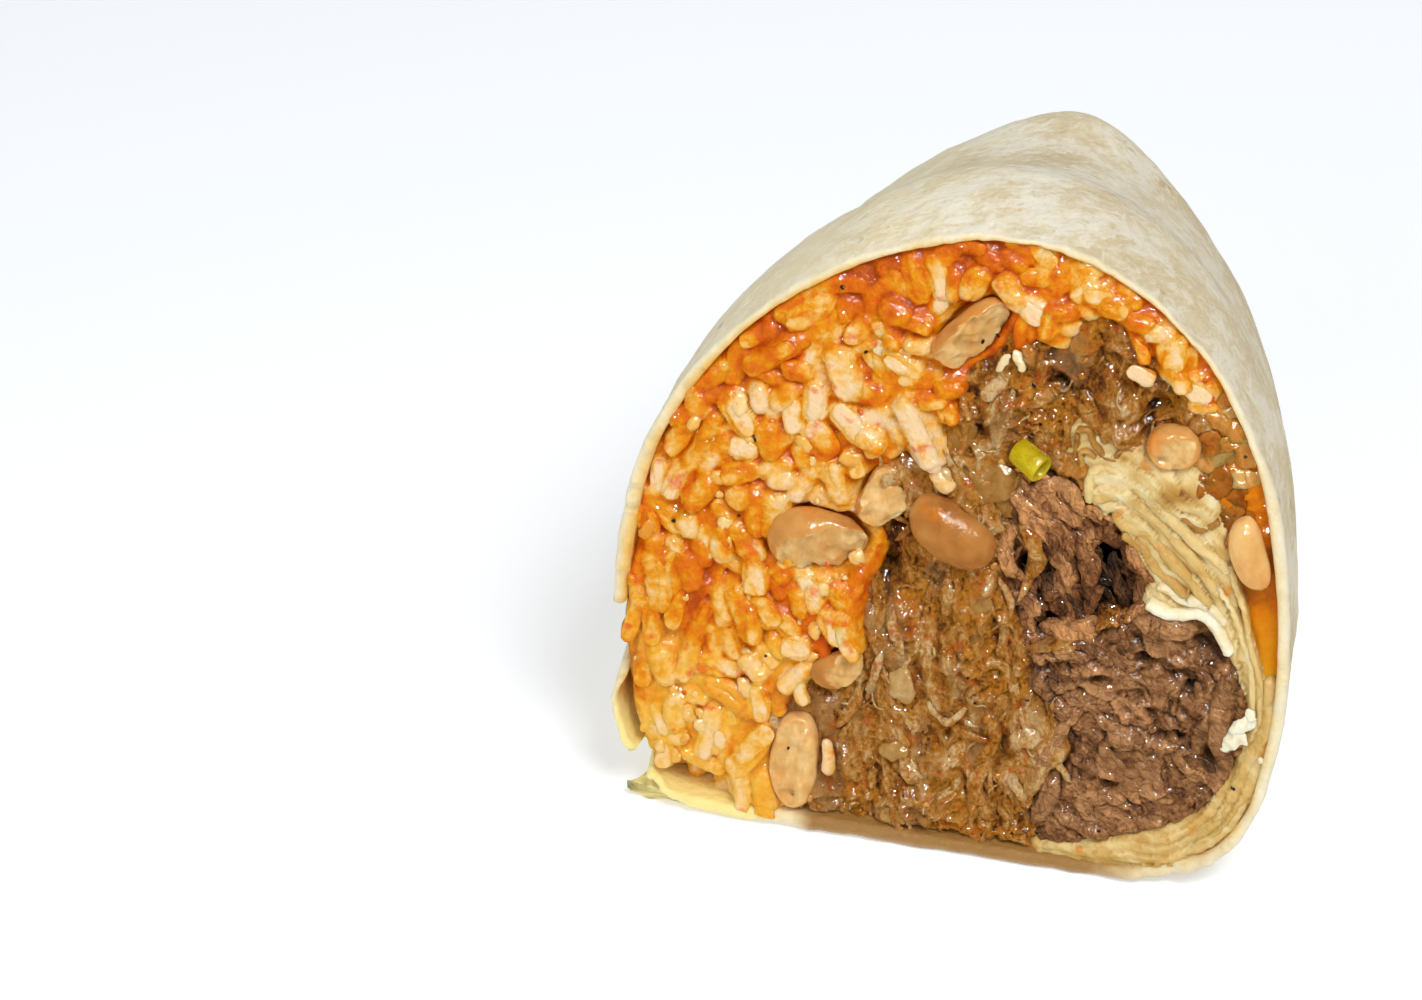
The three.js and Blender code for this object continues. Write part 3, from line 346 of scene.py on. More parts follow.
def noise(x, y, z=0.0, seed=0):
    """Smooth noise of about -1 to 1: random values on a unit lattice, blended by S curves in three
    directions."""
    x, y, z = np.broadcast_arrays(np.asarray(x, float) + 7.3 * seed, y, z)
    i, j, k = (np.floor(a).astype(int) for a in (x, y, z))
    fx, fy, fz = (t * t * (3 - 2 * t) for t in (x - i, y - j, z - k))
    total = 0.0
    for a, b, c in np.ndindex(2, 2, 2):
        weight = (fx if a else 1 - fx) * (fy if b else 1 - fy) * (fz if c else 1 - fz)
        total = total + weight * LATTICE[(i + a) % 32, (j + b) % 32, (k + c) % 32]
    return total


def layered(x, y, z=0.0, seed=0, octaves=3, fade=0.55, step=3, fold=False):
    """Sum of noises, each half the size and about half the height of the one before; folded at zero on
    request, which makes crests of up to 1."""
    total = 0.0
    for n in range(octaves):
        scale = 2.0**n
        layer = noise(x * scale, y * scale, np.asarray(z) * scale, seed + step * n)
        total = total + fade**n * (1 - 2 * np.abs(layer) if fold else layer)
    return total


def ridged(x, y, z=0.0, seed=0, octaves=3):
    """Layered noise folded at zero: sharp crests of up to 1 with round valleys between."""
    return layered(x, y, z, seed, octaves, 0.5, 5, True) / 1.5


def cell_pattern(x, y, seed):
    """For points scattered one to a unit square: how much nearer the nearest is than the second, which is
    0 on the border between two cells, and a random number of -1 to 1 that belongs to the nearest."""
    i, j = np.floor(x).astype(int), np.floor(y).astype(int)
    nearest = np.full(x.shape, FAR)
    second = nearest.copy()
    own = np.zeros(x.shape)
    for di in (-1, 0, 1):
        for dj in (-1, 0, 1):
            a, b = (i + di) % 32, (j + dj) % 32
            px = i + di + 0.5 + 0.45 * LATTICE[a, b, seed % 32]
            py = j + dj + 0.5 + 0.45 * LATTICE[a, b, (seed + 1) % 32]
            away = np.hypot(x - px, y - py)
            closer = away < nearest
            second = np.where(closer, nearest, np.minimum(second, away))
            own = np.where(closer, LATTICE[a, b, (seed + 2) % 32], own)
            nearest = np.where(closer, away, nearest)
    return second - nearest, own


def spline(a, b, c, d, f):
    """Catmull-Rom curve from b to c with neighbours a and d."""
    return 0.5 * (2 * b + (c - a) * f + (2 * a - 5 * b + 4 * c - d) * f**2 + (3 * b - a - 3 * c + d) * f**3)


def along(values, t):
    """Smooth curve through evenly spaced values, t from 0 to 1."""
    values = np.asarray(values, float)
    last = len(values) - 1
    x = np.clip(t, 0, 1) * last
    i = np.minimum(np.floor(x).astype(int), last - 1)
    f = x - i
    if values.ndim > 1:
        f = f[:, None]
    return spline(*(values[np.clip(i + step, 0, last)] for step in (-1, 0, 1, 2)), f)


def closed_curve(points, x):
    """Smooth closed curve through points, at places x counted in points from the first; never below the
    floor."""
    points = np.asarray(points, float)
    i = np.floor(x).astype(int)
    f = (x - i)[:, None]
    curve = spline(*(points[(i + step) % len(points)] for step in (-1, 0, 1, 2)), f)
    curve[:, 1] = np.maximum(curve[:, 1], 0)
    return curve


def sideways(line, closed):
    """Unit normals to the right of each point of a line in the face."""
    if closed:
        run = np.roll(line, -1, axis=0) - np.roll(line, 1, axis=0)
    else:
        run = np.gradient(line, axis=0)
    run /= np.maximum(np.linalg.norm(run, axis=1, keepdims=True), 1e-9)
    return np.stack([run[:, 1], -run[:, 0]], axis=1)


def body_points(u, v, s):
    """Places (u, v) of the cut face carried back to station s: the width and height follow their curves,
    the top narrows towards the tail, a soft fold rises before it, the tail closes as a rounded cap and
    the section turns from the tilt of the cut to that of the tail."""
    u, v, s = np.broadcast_arrays(np.asarray(u, float), v, s)
    back = np.maximum(s, 0)
    up = np.maximum(v, 0)
    share = up / HEIGHT
    narrow = 1 - TOP_NARROWING * back * np.minimum(share, 1)
    tall = along(HEIGHTS, s)
    x = (u - MIDDLE) * along(WIDTHS, s) * narrow + MIDDLE + SIDE_DRIFT * back
    fold = np.exp(-(((s - FOLD_AT) / FOLD_SPAN) ** 2)) * np.exp(-(((x - FOLD_X) / FOLD_WIDTH) ** 2))
    h = up * tall + FOLD_RISE * fold * share**2
    past = np.clip((s - CAP_START) / (1 - CAP_START), 0, 1)
    close = (1 - past**CAP_POWER) ** (1 / CAP_POWER)
    x0 = MIDDLE + SIDE_DRIFT * back
    h0 = CAP_LEVEL * HEIGHT * tall
    x = np.where(s > CAP_START, x0 + (x - x0) * close, x)
    h = np.where(s > CAP_START, h0 + (h - h0) * close, h)
    tilt = CUT_TILT + (END_TILT - CUT_TILT) * back
    return np.stack([x + CENTRE_X, LENGTH * s + h * np.sin(tilt) + CENTRE_Y, h * np.cos(tilt)], axis=-1)


def face_points(local):
    """Row-frame points of (right, up, forward) places: square to the tilted cut face in front of it, and
    level along the roll behind it, where what lies inside the outline stays inside the roll."""
    u, v, forward = np.moveaxis(np.asarray(local, float), -1, 0)
    points = body_points(u, v, np.maximum(-forward, 0) / LENGTH)
    ahead = np.maximum(forward, 0)
    points[..., 1] = np.maximum(points[..., 1] - ahead * math.cos(CUT_TILT), FRONT_LIMIT)
    points[..., 2] = np.maximum(points[..., 2] + ahead * math.sin(CUT_TILT), 0.05)
    return points


def edge_distance(u, v, outline):
    """Distance from each place to a closed outline, positive inside: the least distance to any straight
    side, and inside is where a line to the right crosses an odd number of sides."""
    points = np.asarray(outline, float)
    best = np.full(u.shape, FAR)
    crossings = np.zeros(u.shape, int)
    for (ax, ay), (bx, by) in zip(points, np.roll(points, -1, axis=0)):
        dx, dy = bx - ax, by - ay
        t = np.clip(((u - ax) * dx + (v - ay) * dy) / max(dx * dx + dy * dy, 1e-9), 0, 1)
        best = np.minimum(best, np.hypot(u - ax - t * dx, v - ay - t * dy))
        slope = dx / dy if abs(dy) > 1e-9 else 0
        crossings += ((ay > v) != (by > v)) & (u < ax + (v - ay) * slope)
    return np.where(crossings % 2 == 1, best, -best)


def line_distance(u, v, line):
    """Distance to an open line of straight parts, positive on the left of its run."""
    best, side = np.full(u.shape, FAR), np.ones(u.shape)
    for (ax, ay), (bx, by) in zip(line, line[1:]):
        dx, dy = bx - ax, by - ay
        t = np.clip(((u - ax) * dx + (v - ay) * dy) / (dx * dx + dy * dy), 0, 1)
        away = np.hypot(u - ax - t * dx, v - ay - t * dy)
        side = np.where(away < best, np.sign(dx * (v - ay) - dy * (u - ax)), side)
        best = np.minimum(best, away)
    return best * side


def holes(u, v, wells):
    """Depth of smooth wells: each is a bell curve of its own width, height and depth."""
    total = 0.0
    for u0, v0, ru, rv, depth in wells:
        total = total - depth * np.exp(-(((u - u0) / ru) ** 2) - ((v - v0) / rv) ** 2)
    return total


def wall_at(u, v):
    """Thickness of the sheet in millimetres: thin over the top, a little less than full at the right."""
    full = bpy.context.scene.burrito_tortilla.wall / MM
    return full * (1 - 0.42 * smooth(52, 76, v) - 0.16 * smooth(0, 36, u))


# ---- meshes ----
# Walls of a filling stand at this share of the way from the middle of the roll to its own outline.
DRAWN_IN = 0.945
# A place is hollow or proud of the mean height within this many millimetres.
HOLLOW_REACH = 1.1


def add_piece(name, points, triangles, finish, nodes, shades=None):
    """Makes one piece from points in millimetres and triangles, turns its faces outwards, gives it its
    named shades as point attributes and hangs it on the frame."""
    a, b, c = (points[triangles[:, k]] for k in range(3))
    if np.einsum("ij,ij->i", a, np.cross(b, c)).sum() < 0:
        triangles = triangles[:, ::-1]
    mesh = bpy.data.meshes.new(name)
    mesh.from_pydata((points * MM).tolist(), [], triangles.tolist())
    mesh.polygons.foreach_set("use_smooth", np.ones(len(triangles), bool))
    for label, values in (shades or {}).items():
        layer = mesh.attributes.new(label, "FLOAT", "POINT")
        layer.data.foreach_set("value", np.asarray(values, np.float32).ravel())
    mesh.materials.append(finish)
    mesh.update()
    piece = bpy.data.objects.new(name, mesh)
    bpy.context.scene.collection.objects.link(piece)
    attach(piece, "root")
    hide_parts(*nodes)
    return piece


def closed_tubes(rings):
    """Points and triangles of many closed tubes at once, from an array (copies, rings, sides, 3). Each
    cell of the grid is two triangles and each end is a fan to the middle of its ring."""
    copies, count, sides, _ = rings.shape
    ends = rings[:, [0, -1]].mean(axis=2)
    points = np.concatenate([rings.reshape(copies, -1, 3), ends], axis=1)
    near = np.arange(sides)
    beyond = (near + 1) % sides
    a = (np.arange(count - 1)[:, None] * sides + near).ravel()
    b = (np.arange(count - 1)[:, None] * sides + beyond).ravel()
    start = np.full(sides, count * sides)
    last = (count - 1) * sides
    one = np.concatenate([
        np.stack([a, b, b + sides], 1),
        np.stack([a, b + sides, a + sides], 1),
        np.stack([start, beyond, near], 1),
        np.stack([start + 1, last + near, last + beyond], 1),
    ])
    triangles = one[None] + (np.arange(copies) * points.shape[1])[:, None, None]
    return points.reshape(-1, 3), triangles.reshape(-1, 3)


def tubes_along(paths, half_width, half_depth, sides, lumps=0.0, grain=1.4, seed=0, waves=6.0):
    """Rings of tubes that follow paths (copies, rings, 3) in (right, up, forward): each ring is an
    ellipse square to its path, made uneven by noise. Few waves along the tube and a high grain make
    ridges that run along it."""
    run = np.gradient(paths, axis=1)
    run /= np.maximum(np.linalg.norm(run, axis=2, keepdims=True), 1e-9)
    out = np.where(np.abs(run[..., 2:]) > 0.9, (1.0, 0.0, 0.0), (0.0, 0.0, 1.0))
    across = np.cross(out, run)
    across /= np.maximum(np.linalg.norm(across, axis=2, keepdims=True), 1e-9)
    normal = np.cross(run, across)
    turn = 2 * np.pi * np.arange(sides) / sides
    copy = np.arange(paths.shape[0])[:, None, None]
    step = np.arange(paths.shape[1])[None, :, None] * (waves / paths.shape[1])
    rough = 1 + lumps * layered(step, grain * np.cos(turn) + 9.1 * copy, grain * np.sin(turn), seed, 2)
    ring = (
        across[:, :, None] * (np.cos(turn)[:, None] * half_width[:, :, None, None])
        + normal[:, :, None] * (np.sin(turn)[:, None] * half_depth[:, :, None, None])
    )
    return paths[:, :, None] + ring * rough[..., None]


def straight_paths(place, angle, pitch, length, steps, bend=0.0):
    """Centre lines through places (copies, 3): straight at an angle in the face and a pitch out of it,
    bowed by the bend; steps run from -1 to 1."""
    ahead = np.stack([np.cos(angle) * np.cos(pitch), np.sin(angle) * np.cos(pitch), np.sin(pitch)], 1)
    side = np.stack([-np.sin(angle), np.cos(angle), np.zeros_like(angle)], 1)
    bow = np.broadcast_to(bend, angle.shape)[:, None, None] * (1 - steps**2)[None, :, None]
    reach = length[:, None, None] / 2 * steps[None, :, None]
    return place[:, None] + ahead[:, None] * reach + side[:, None] * bow


def roughen(rings, amount, size, seed=0):
    """Shifts each point by up to the amount, in all three directions, by noise whose lumps are of the
    size."""
    p, q, r = np.moveaxis(rings / size, -1, 0)
    return rings + amount * np.stack([noise(p, q, r, seed + k) for k in (1, 4, 8)], -1)


def blurred(field, reach):
    """Mean over a square of 2 reach + 1 cells, from running sums along the columns and then the rows."""
    for axis in (0, 1):
        pad = [(0, 0), (0, 0)]
        pad[axis] = (reach + 1, reach)
        total = np.cumsum(np.pad(field, pad, mode="edge"), axis=axis)
        near = total.take(np.arange(2 * reach + 1, total.shape[axis]), axis)
        far = total.take(np.arange(total.shape[axis] - 2 * reach - 1), axis)
        field = (near - far) / (2 * reach + 1)
    return field


def filling_block(inside, relief, box, cell, sink=1.6, overlap=1.1):
    """Closed block of one filling. Its front is a grid over the cut face at the height of the relief,
    kept where a place lies inside the filling or less than the overlap outside it, and sinking towards
    that edge so that neighbours meet in a crease. Walls run back through the roll, drawn in a little from
    the sheet, from its rim to a copy of the grid at the back. The shades give each point its place and
    how far it stands out of the mean height round it."""
    u0, v0, u1, v1 = box
    u, v = np.meshgrid(np.arange(u0, u1, cell), np.arange(v0, v1, cell))
    rows, columns = u.shape
    u = u + 0.3 * cell * noise(u * 2.1, v * 1.9, 0, 4)
    v = v + 0.3 * cell * noise(u * 1.7, v * 2.3, 0, 6)
    depth = inside(u, v)
    keep = depth > -overlap
    cells = keep[:-1, :-1] & keep[1:, :-1] & keep[:-1, 1:] & keep[1:, 1:]
    height = relief(u, v)
    hollow = height - blurred(height, int(HOLLOW_REACH / cell))
    forward = height - sink * np.clip(0.9 - depth, 0, None) ** 1.5
    front = keep_inside(np.stack([u, v, forward], -1).reshape(-1, 3), 0.15)
    u, v = front[:, 0], front[:, 1]

    size = rows * columns
    index = np.arange(size).reshape(rows, columns)
    corner = [index[:-1, :-1], index[:-1, 1:], index[1:, 1:], index[1:, :-1]]
    a, b, c, d = (k[cells] for k in corner)
    skin = np.concatenate([np.stack([a, b, c], 1), np.stack([a, c, d], 1)])
    padded = np.pad(cells, 1)
    around = [padded[:-2, 1:-1], padded[1:-1, 2:], padded[2:, 1:-1], padded[1:-1, :-2]]
    rim = []
    for k, other in enumerate(around):
        edge = cells & ~other
        rim.append(np.stack([corner[k][edge], corner[(k + 1) % 4][edge]], 1))
    p, q = np.concatenate(rim).T

    inner_u, inner_v = MIDDLE + DRAWN_IN * (u - MIDDLE), CORE_LEVEL + DRAWN_IN * (v - CORE_LEVEL)
    levels = [face_points(front)] + [body_points(inner_u, inner_v, s) for s in WALL_STATIONS]
    behind = len(WALL_STATIONS)
    triangles = [skin, skin[:, ::-1] + size * behind]
    for level in range(behind):
        near, far = level * size, (level + 1) * size
        triangles.append(np.stack([q + near, p + near, p + far], 1))
        triangles.append(np.stack([q + near, p + far, q + far], 1))
    used, triangles = np.unique(np.concatenate(triangles), return_inverse=True)
    shade = {
        "u": np.tile(u, behind + 1)[used],
        "v": np.tile(v, behind + 1)[used],
        "forward": np.concatenate([forward.ravel(), np.full(size * behind, -12.0)])[used],
        "hollow": np.concatenate([hollow.ravel(), np.full(size * behind, -1.0)])[used],
        "order": used % size,
    }
    return np.concatenate(levels)[used], triangles.reshape(-1, 3), shade


# ---- areas of the face ----
OUTLINE_CURVE = closed_curve(OUTLINE, np.linspace(0, len(OUTLINE), 120, endpoint=False))


def cavity(u, v):
    """Distance inside the inner face of the sheet, negative in the sheet."""
    return edge_distance(u, v, OUTLINE_CURVE) - wall_at(u, v)


def clear_of(room, u, v, *areas):
    """The room that is left outside all of the areas: the least of it and the distances to them."""
    for area in areas:
        room = np.minimum(room, -edge_distance(u, v, area))
    return room


def inside_leaf(u, v):
    """Inner sheets: their own area, up to a millimetre into the sheet."""
    return np.minimum(edge_distance(u, v, INNER_LEAF), cavity(u, v) + 1)


def inside_pocket(u, v):
    """Side pocket: its own area within the sheet."""
    return np.minimum(cavity(u, v), edge_distance(u, v, SIDE_POCKET))


def inside_rice(u, v):
    """Rice: its own area, clear of the inner sheets and the side pocket."""
    return np.minimum(clear_of(cavity(u, v), u, v, INNER_LEAF, SIDE_POCKET), edge_distance(u, v, RICE_AREA))


def inside_chunk(u, v):
    """Firm chunk: its own area, clear of the inner sheets."""
    return np.minimum(clear_of(cavity(u, v), u, v, INNER_LEAF), edge_distance(u, v, CHUNK_AREA))


def inside_shreds(u, v):
    """Loose shreds: their own area, clear of the inner sheets and the chunk."""
    return clear_of(edge_distance(u, v, SHRED_AREA), u, v, INNER_LEAF, CHUNK_AREA)


def inside_stew(u, v):
    """Stew: all of the roll that no other filling takes."""
    return clear_of(cavity(u, v), u, v, INNER_LEAF, SIDE_POCKET, RICE_AREA, CHUNK_AREA, SHRED_AREA)


def keep_inside(local, share=0.3):
    """Moves points that lie more than a share of the wall beyond the inner face of the sheet towards the
    middle of the roll, by as much as they lie beyond it."""
    u, v = local[:, 0], local[:, 1]
    over = np.maximum(-share * wall_at(u, v) - cavity(u, v), 0)
    du, dv = MIDDLE - u, CORE_LEVEL - v
    scale = over / np.maximum(np.hypot(du, dv), 1)
    return np.stack([u + du * scale, np.maximum(v + dv * scale, 0.5), local[:, 2]], 1)


# ---- finishes ----
class Finish:
    """One material: a Principled shader, with short calls that add the nodes that feed it."""

    def __init__(self, name, **sockets):
        self.material = bpy.data.materials.new(name)
        self.material.use_nodes = True
        self.nodes = self.material.node_tree.nodes
        self.link = self.material.node_tree.links.new
        self.shader = self.nodes["Principled BSDF"]
        for label, value in sockets.items():
            self.shader.inputs[label.replace("_", " ")].default_value = value
        self.place = self.nodes.new("ShaderNodeTexCoord").outputs["Object"]

    def shade(self, name):
        """Value that each point of the piece carries under a name."""
        node = self.nodes.new("ShaderNodeAttribute")
        node.attribute_name = name
        return node.outputs["Fac"]

    def spot(self, stretch, turn, warp):
        """Place on the object, shifted by up to about half the warp in millimetres and drawn out by the
        stretch along turned axes."""
        spot = self.place
        if warp:
            wave = self.nodes.new("ShaderNodeTexNoise")
            wave.inputs["Scale"].default_value = 0.4 / MM
            self.link(spot, wave.inputs["Vector"])
            shift = self.nodes.new("ShaderNodeVectorMath")
            shift.operation = "MULTIPLY_ADD"
            self.link(wave.outputs["Color"], shift.inputs[0])
            shift.inputs[1].default_value = (warp * MM,) * 3
            self.link(spot, shift.inputs[2])
            spot = shift.outputs[0]
        if stretch != (1, 1, 1):
            mapping = self.nodes.new("ShaderNodeMapping")
            mapping.vector_type = "TEXTURE"
            mapping.inputs["Rotation"].default_value = [math.radians(a) for a in turn]
            mapping.inputs["Scale"].default_value = stretch
            self.link(spot, mapping.inputs["Vector"])
            spot = mapping.outputs["Vector"]
        return spot

    def noise(self, size, detail=3.0, stretch=(1, 1, 1), turn=(0, 0, 0), rough=0.5, warp=0.0):
        """Noise whose blobs are about size millimetres."""
        node = self.nodes.new("ShaderNodeTexNoise")
        node.inputs["Scale"].default_value = 1 / (size * MM)
        node.inputs["Detail"].default_value = detail
        node.inputs["Roughness"].default_value = rough
        self.link(self.spot(stretch, turn, warp), node.inputs["Vector"])
        return node.outputs["Fac"]

    def cracks(self, size, stretch=(1, 1, 1), turn=(0, 0, 0), warp=0.0):
        """Distance from the borders of cells of about size millimetres: 0 on a border."""
        node = self.nodes.new("ShaderNodeTexVoronoi")
        node.feature = "DISTANCE_TO_EDGE"
        node.inputs["Scale"].default_value = 1 / (size * MM)
        self.link(self.spot(stretch, turn, warp), node.inputs["Vector"])
        return node.outputs["Distance"]

    def sums(self, *terms, offset=0.0):
        """Sum of (source, weight) terms and an offset."""
        total = None
        for source, weight in terms:
            node = self.nodes.new("ShaderNodeMath")
            node.operation = "MULTIPLY_ADD"
            self.link(source, node.inputs[0])
            node.inputs[1].default_value = weight
            if total is None:
                node.inputs[2].default_value = offset
            else:
                self.link(total, node.inputs[2])
            total = node.outputs[0]
        return total

    def step(self, source, low, high, top=1.0):
        """0 at low, top at high and straight between."""
        node = self.nodes.new("ShaderNodeMapRange")
        node.inputs["From Min"].default_value = low
        node.inputs["From Max"].default_value = high
        node.inputs["To Max"].default_value = top
        self.link(source, node.inputs["Value"])
        return node.outputs["Result"]

    def ramp(self, source, *stops):
        """Colour of a source: stops are (place, colour)."""
        node = self.nodes.new("ShaderNodeValToRGB")
        band = node.color_ramp.elements
        while len(band) < len(stops):
            band.new(0.5)
        for element, (place, tint) in zip(band, stops):
            element.position = place
            element.color = (*tint, 1)
        self.link(source, node.inputs["Fac"])
        return node.outputs["Color"]

    def mix(self, factor, first, second):
        """Blend of two colours, each a socket or a plain colour."""
        node = self.nodes.new("ShaderNodeMix")
        node.data_type = "RGBA"
        self.link(factor, node.inputs[0])
        for slot, tint in ((6, first), (7, second)):
            if isinstance(tint, bpy.types.NodeSocket):
                self.link(tint, node.inputs[slot])
            else:
                node.inputs[slot].default_value = (*tint, 1)
        return node.outputs[2]

    def done(self, tint, roughness=None, bump=None, depth=0.3, film=None, film_depth=0.2):
        """Connects colour, roughness, a bump whose full height is depth millimetres, and the smoother
        bump of the wet film on top."""
        self.link(tint, self.shader.inputs["Base Color"])
        if roughness is not None:
            self.link(roughness, self.shader.inputs["Roughness"])
        for height, reach, socket in ((bump, depth, "Normal"), (film or bump, film_depth, "Coat Normal")):
            if height is not None:
                node = self.nodes.new("ShaderNodeBump")
                node.inputs["Distance"].default_value = reach * MM
                self.link(height, node.inputs["Height"])
                self.link(node.outputs["Normal"], self.shader.inputs[socket])
        return self.material


def flesh(name, scale, radius, weight, shine, coat=0.0, coat_roughness=0.03):
    """Finish of something light shines a little way into, scale millimetres deep, with a warm sheen and,
    where it is wet, a clear coat."""
    return Finish(
        name, Subsurface_Weight=weight, Subsurface_Radius=radius, Subsurface_Scale=scale * MM,
        Specular_Tint=(1.0, 0.82, 0.6, 1.0), Specular_IOR_Level=shine, Coat_Weight=coat,
        Coat_Roughness=coat_roughness,
    )


def tortilla_finish(look):
    """Outside: plain dough with dull toasted patches, soft floury streaks drawn out round the roll and
    few brown specks, lighter at the left by painted light and duller to the right by painted shade. Cut
    edge and inside: warm and damp with a little orange stain, darker tan at the foot and bright yellow at
    the low left lip."""
    finish = flesh("tortilla_floured", 1.0, (1.0, 0.85, 0.6), 0.3, 0.3)
    broad = finish.noise(13, 5, (1.5, 1, 1), (0, 20, 35), 0.6)
    streaks = finish.noise(4.5, 10, (2.6, 1.2, 1), (15, -10, 25), 0.68, 3)
    fine = finish.noise(1.2, 5)
    patch = finish.sums((broad, 1.0), (fine, 0.25), (streaks, 0.3), offset=-0.275)
    outside = finish.ramp(patch, (0.3, look.toast), (0.52, look.dough), (0.68, srgb(244, 232, 202)))
    dust = finish.sums((streaks, 1.0), (broad, 0.7), (fine, 0.25), offset=-0.475)
    outside = finish.mix(finish.step(dust, 0.46, 0.6, 0.8), outside, look.flour)
    threads = finish.noise(1.1, 8, (3, 1, 1), (15, -10, 25), 0.7, 3)
    outside = finish.mix(finish.step(threads, 0.52, 0.62, 0.75), outside, look.flour)
    outside = finish.mix(finish.step(threads, 0.45, 0.35, 0.6), outside, srgb(210, 188, 154))
    # Painted light at the left of the outside, lighter and yellower, and painted shade at the right, duller
    # and darker.
    outside = finish.mix(finish.step(finish.shade("side"), 0.6, 0.1, 0.6), outside, srgb(255, 240, 198))
    outside = finish.mix(finish.step(finish.shade("side"), 0.4, 1.0, 0.4), outside, srgb(194, 176, 136))
    specks = finish.sums((finish.noise(3.1, 2), 1.0), (finish.noise(11, 1), 0.5), offset=-0.25)
    outside = finish.mix(finish.step(specks, 0.72, 0.78, 0.5), outside, srgb(184, 142, 92))
    damp = finish.sums((finish.shade("stain"), 1.0), (finish.noise(3, 5), 0.6), offset=-0.3)
    edge = finish.ramp(
        damp, (0.0, srgb(244, 234, 204)), (0.25, look.edge), (0.55, srgb(234, 190, 100)),
        (0.8, srgb(220, 138, 24)), (1.0, srgb(176, 84, 6)),
    )
    # Darker tan towards the foot of the cut edge, bright yellow at the low left lip.
    wet = finish.sums((finish.shade("foot_and_lip"), 1.0), (finish.noise(2.2, 5), 0.5), offset=-0.25)
    edge = finish.mix(finish.step(wet, 0.1, 0.8, 0.95), edge, srgb(160, 114, 50))
    edge = finish.mix(finish.step(wet, -0.1, -0.8, 0.9), edge, srgb(254, 234, 150))
    tint = finish.mix(finish.shade("cut"), outside, edge)
    roughness = finish.step(finish.shade("cut"), 0.0, 1.0, -0.35)
    roughness = finish.sums((roughness, 1.0), (fine, 0.2), offset=0.68)
    bump = finish.sums((fine, 1.0), (streaks, 1.6), (threads, 0.8))
    return finish.done(tint, roughness, bump, 0.3)


def sheet_finish():
    """Inner sheets: cream to soaked yellow by their tone, with fine fibrous lines and orange spots."""
    finish = flesh("tortilla_inner", 1.4, (1.0, 0.85, 0.6), 0.4, 0.4)
    lines = finish.noise(1.4, 7, (4, 1, 1), (0, 43, 0), 0.65, 1)
    cloud = finish.noise(3.0, 4)
    # Painted shade: the depth shade darkens the sheets towards brown where they run back into the roll and
    # along the creases between pages.
    tone = finish.sums(
        (finish.shade("tone"), 1.0), (lines, 0.45), (cloud, 0.4), (finish.shade("depth"), 0.5), offset=-0.4
    )
    tint = finish.ramp(
        tone, (0.0, srgb(250, 240, 210)), (0.26, srgb(234, 208, 146)), (0.5, srgb(210, 170, 94)),
        (0.74, srgb(178, 126, 52)), (1.0, srgb(116, 68, 12)),
    )
    spots = finish.sums((finish.noise(3.5, 2), 1.0), (finish.noise(1.2, 3), 0.4), offset=-0.2)
    tint = finish.mix(finish.step(spots, 0.68, 0.76, 0.7), tint, srgb(222, 134, 24))
    bump = finish.sums((lines, 1.2), (finish.noise(0.6, 3), 0.5))
    return finish.done(tint, finish.sums((lines, 0.3), offset=0.25), bump, 0.3)


def rice_finish(look):
    """Grains: pale and a little clear where clean, through a yellow-orange coat to red-orange between them,
    which is partly sauce and partly painted shade. The coat changes over a millimetre, so that most grains
    are part pale and part coated."""
    finish = flesh("rice_coated", 0.4, (1.0, 0.85, 0.65), 0.4, 0.25, 0.6, 0.07)
    patches = finish.noise(1.5, 5, rough=0.62, warp=2)
    broad = finish.noise(5, 3)
    coat = finish.sums((finish.shade("coat"), 1.0), (patches, 1.1), (broad, 0.6), offset=-0.85)
    tint = finish.ramp(
        coat, (0.0, srgb(244, 210, 162)), (0.22, look.pale), (0.42, look.coated), (0.62, srgb(224, 118, 0)),
        (0.82, look.sauce), (1.0, srgb(182, 74, 0)),
    )
    starch, lumps = finish.shade("starch"), finish.noise(2.4, 4, rough=0.6, warp=2)
    mush = finish.sums((starch, 1.0), (lumps, 1.6), offset=-0.8)
    tint = finish.mix(finish.step(mush, 0.4, 1.0, 0.6), tint, look.starch)
    spots = finish.sums((finish.noise(2.4, 3), 1.0), (finish.noise(9, 1), 0.5), offset=-0.25)
    tint = finish.mix(finish.step(spots, 0.62, 0.74, 0.7), tint, srgb(226, 84, 0))
    bump = finish.sums((finish.noise(0.45, 4, rough=0.6), 0.8), (finish.noise(1.2, 3), 1.2))
    film = finish.sums((finish.noise(1.3, 1), 1.0), (finish.noise(0.6, 0), 0.35))
    return finish.done(tint, finish.sums((patches, 0.5), offset=0.15), bump, 0.22, film, 0.4)


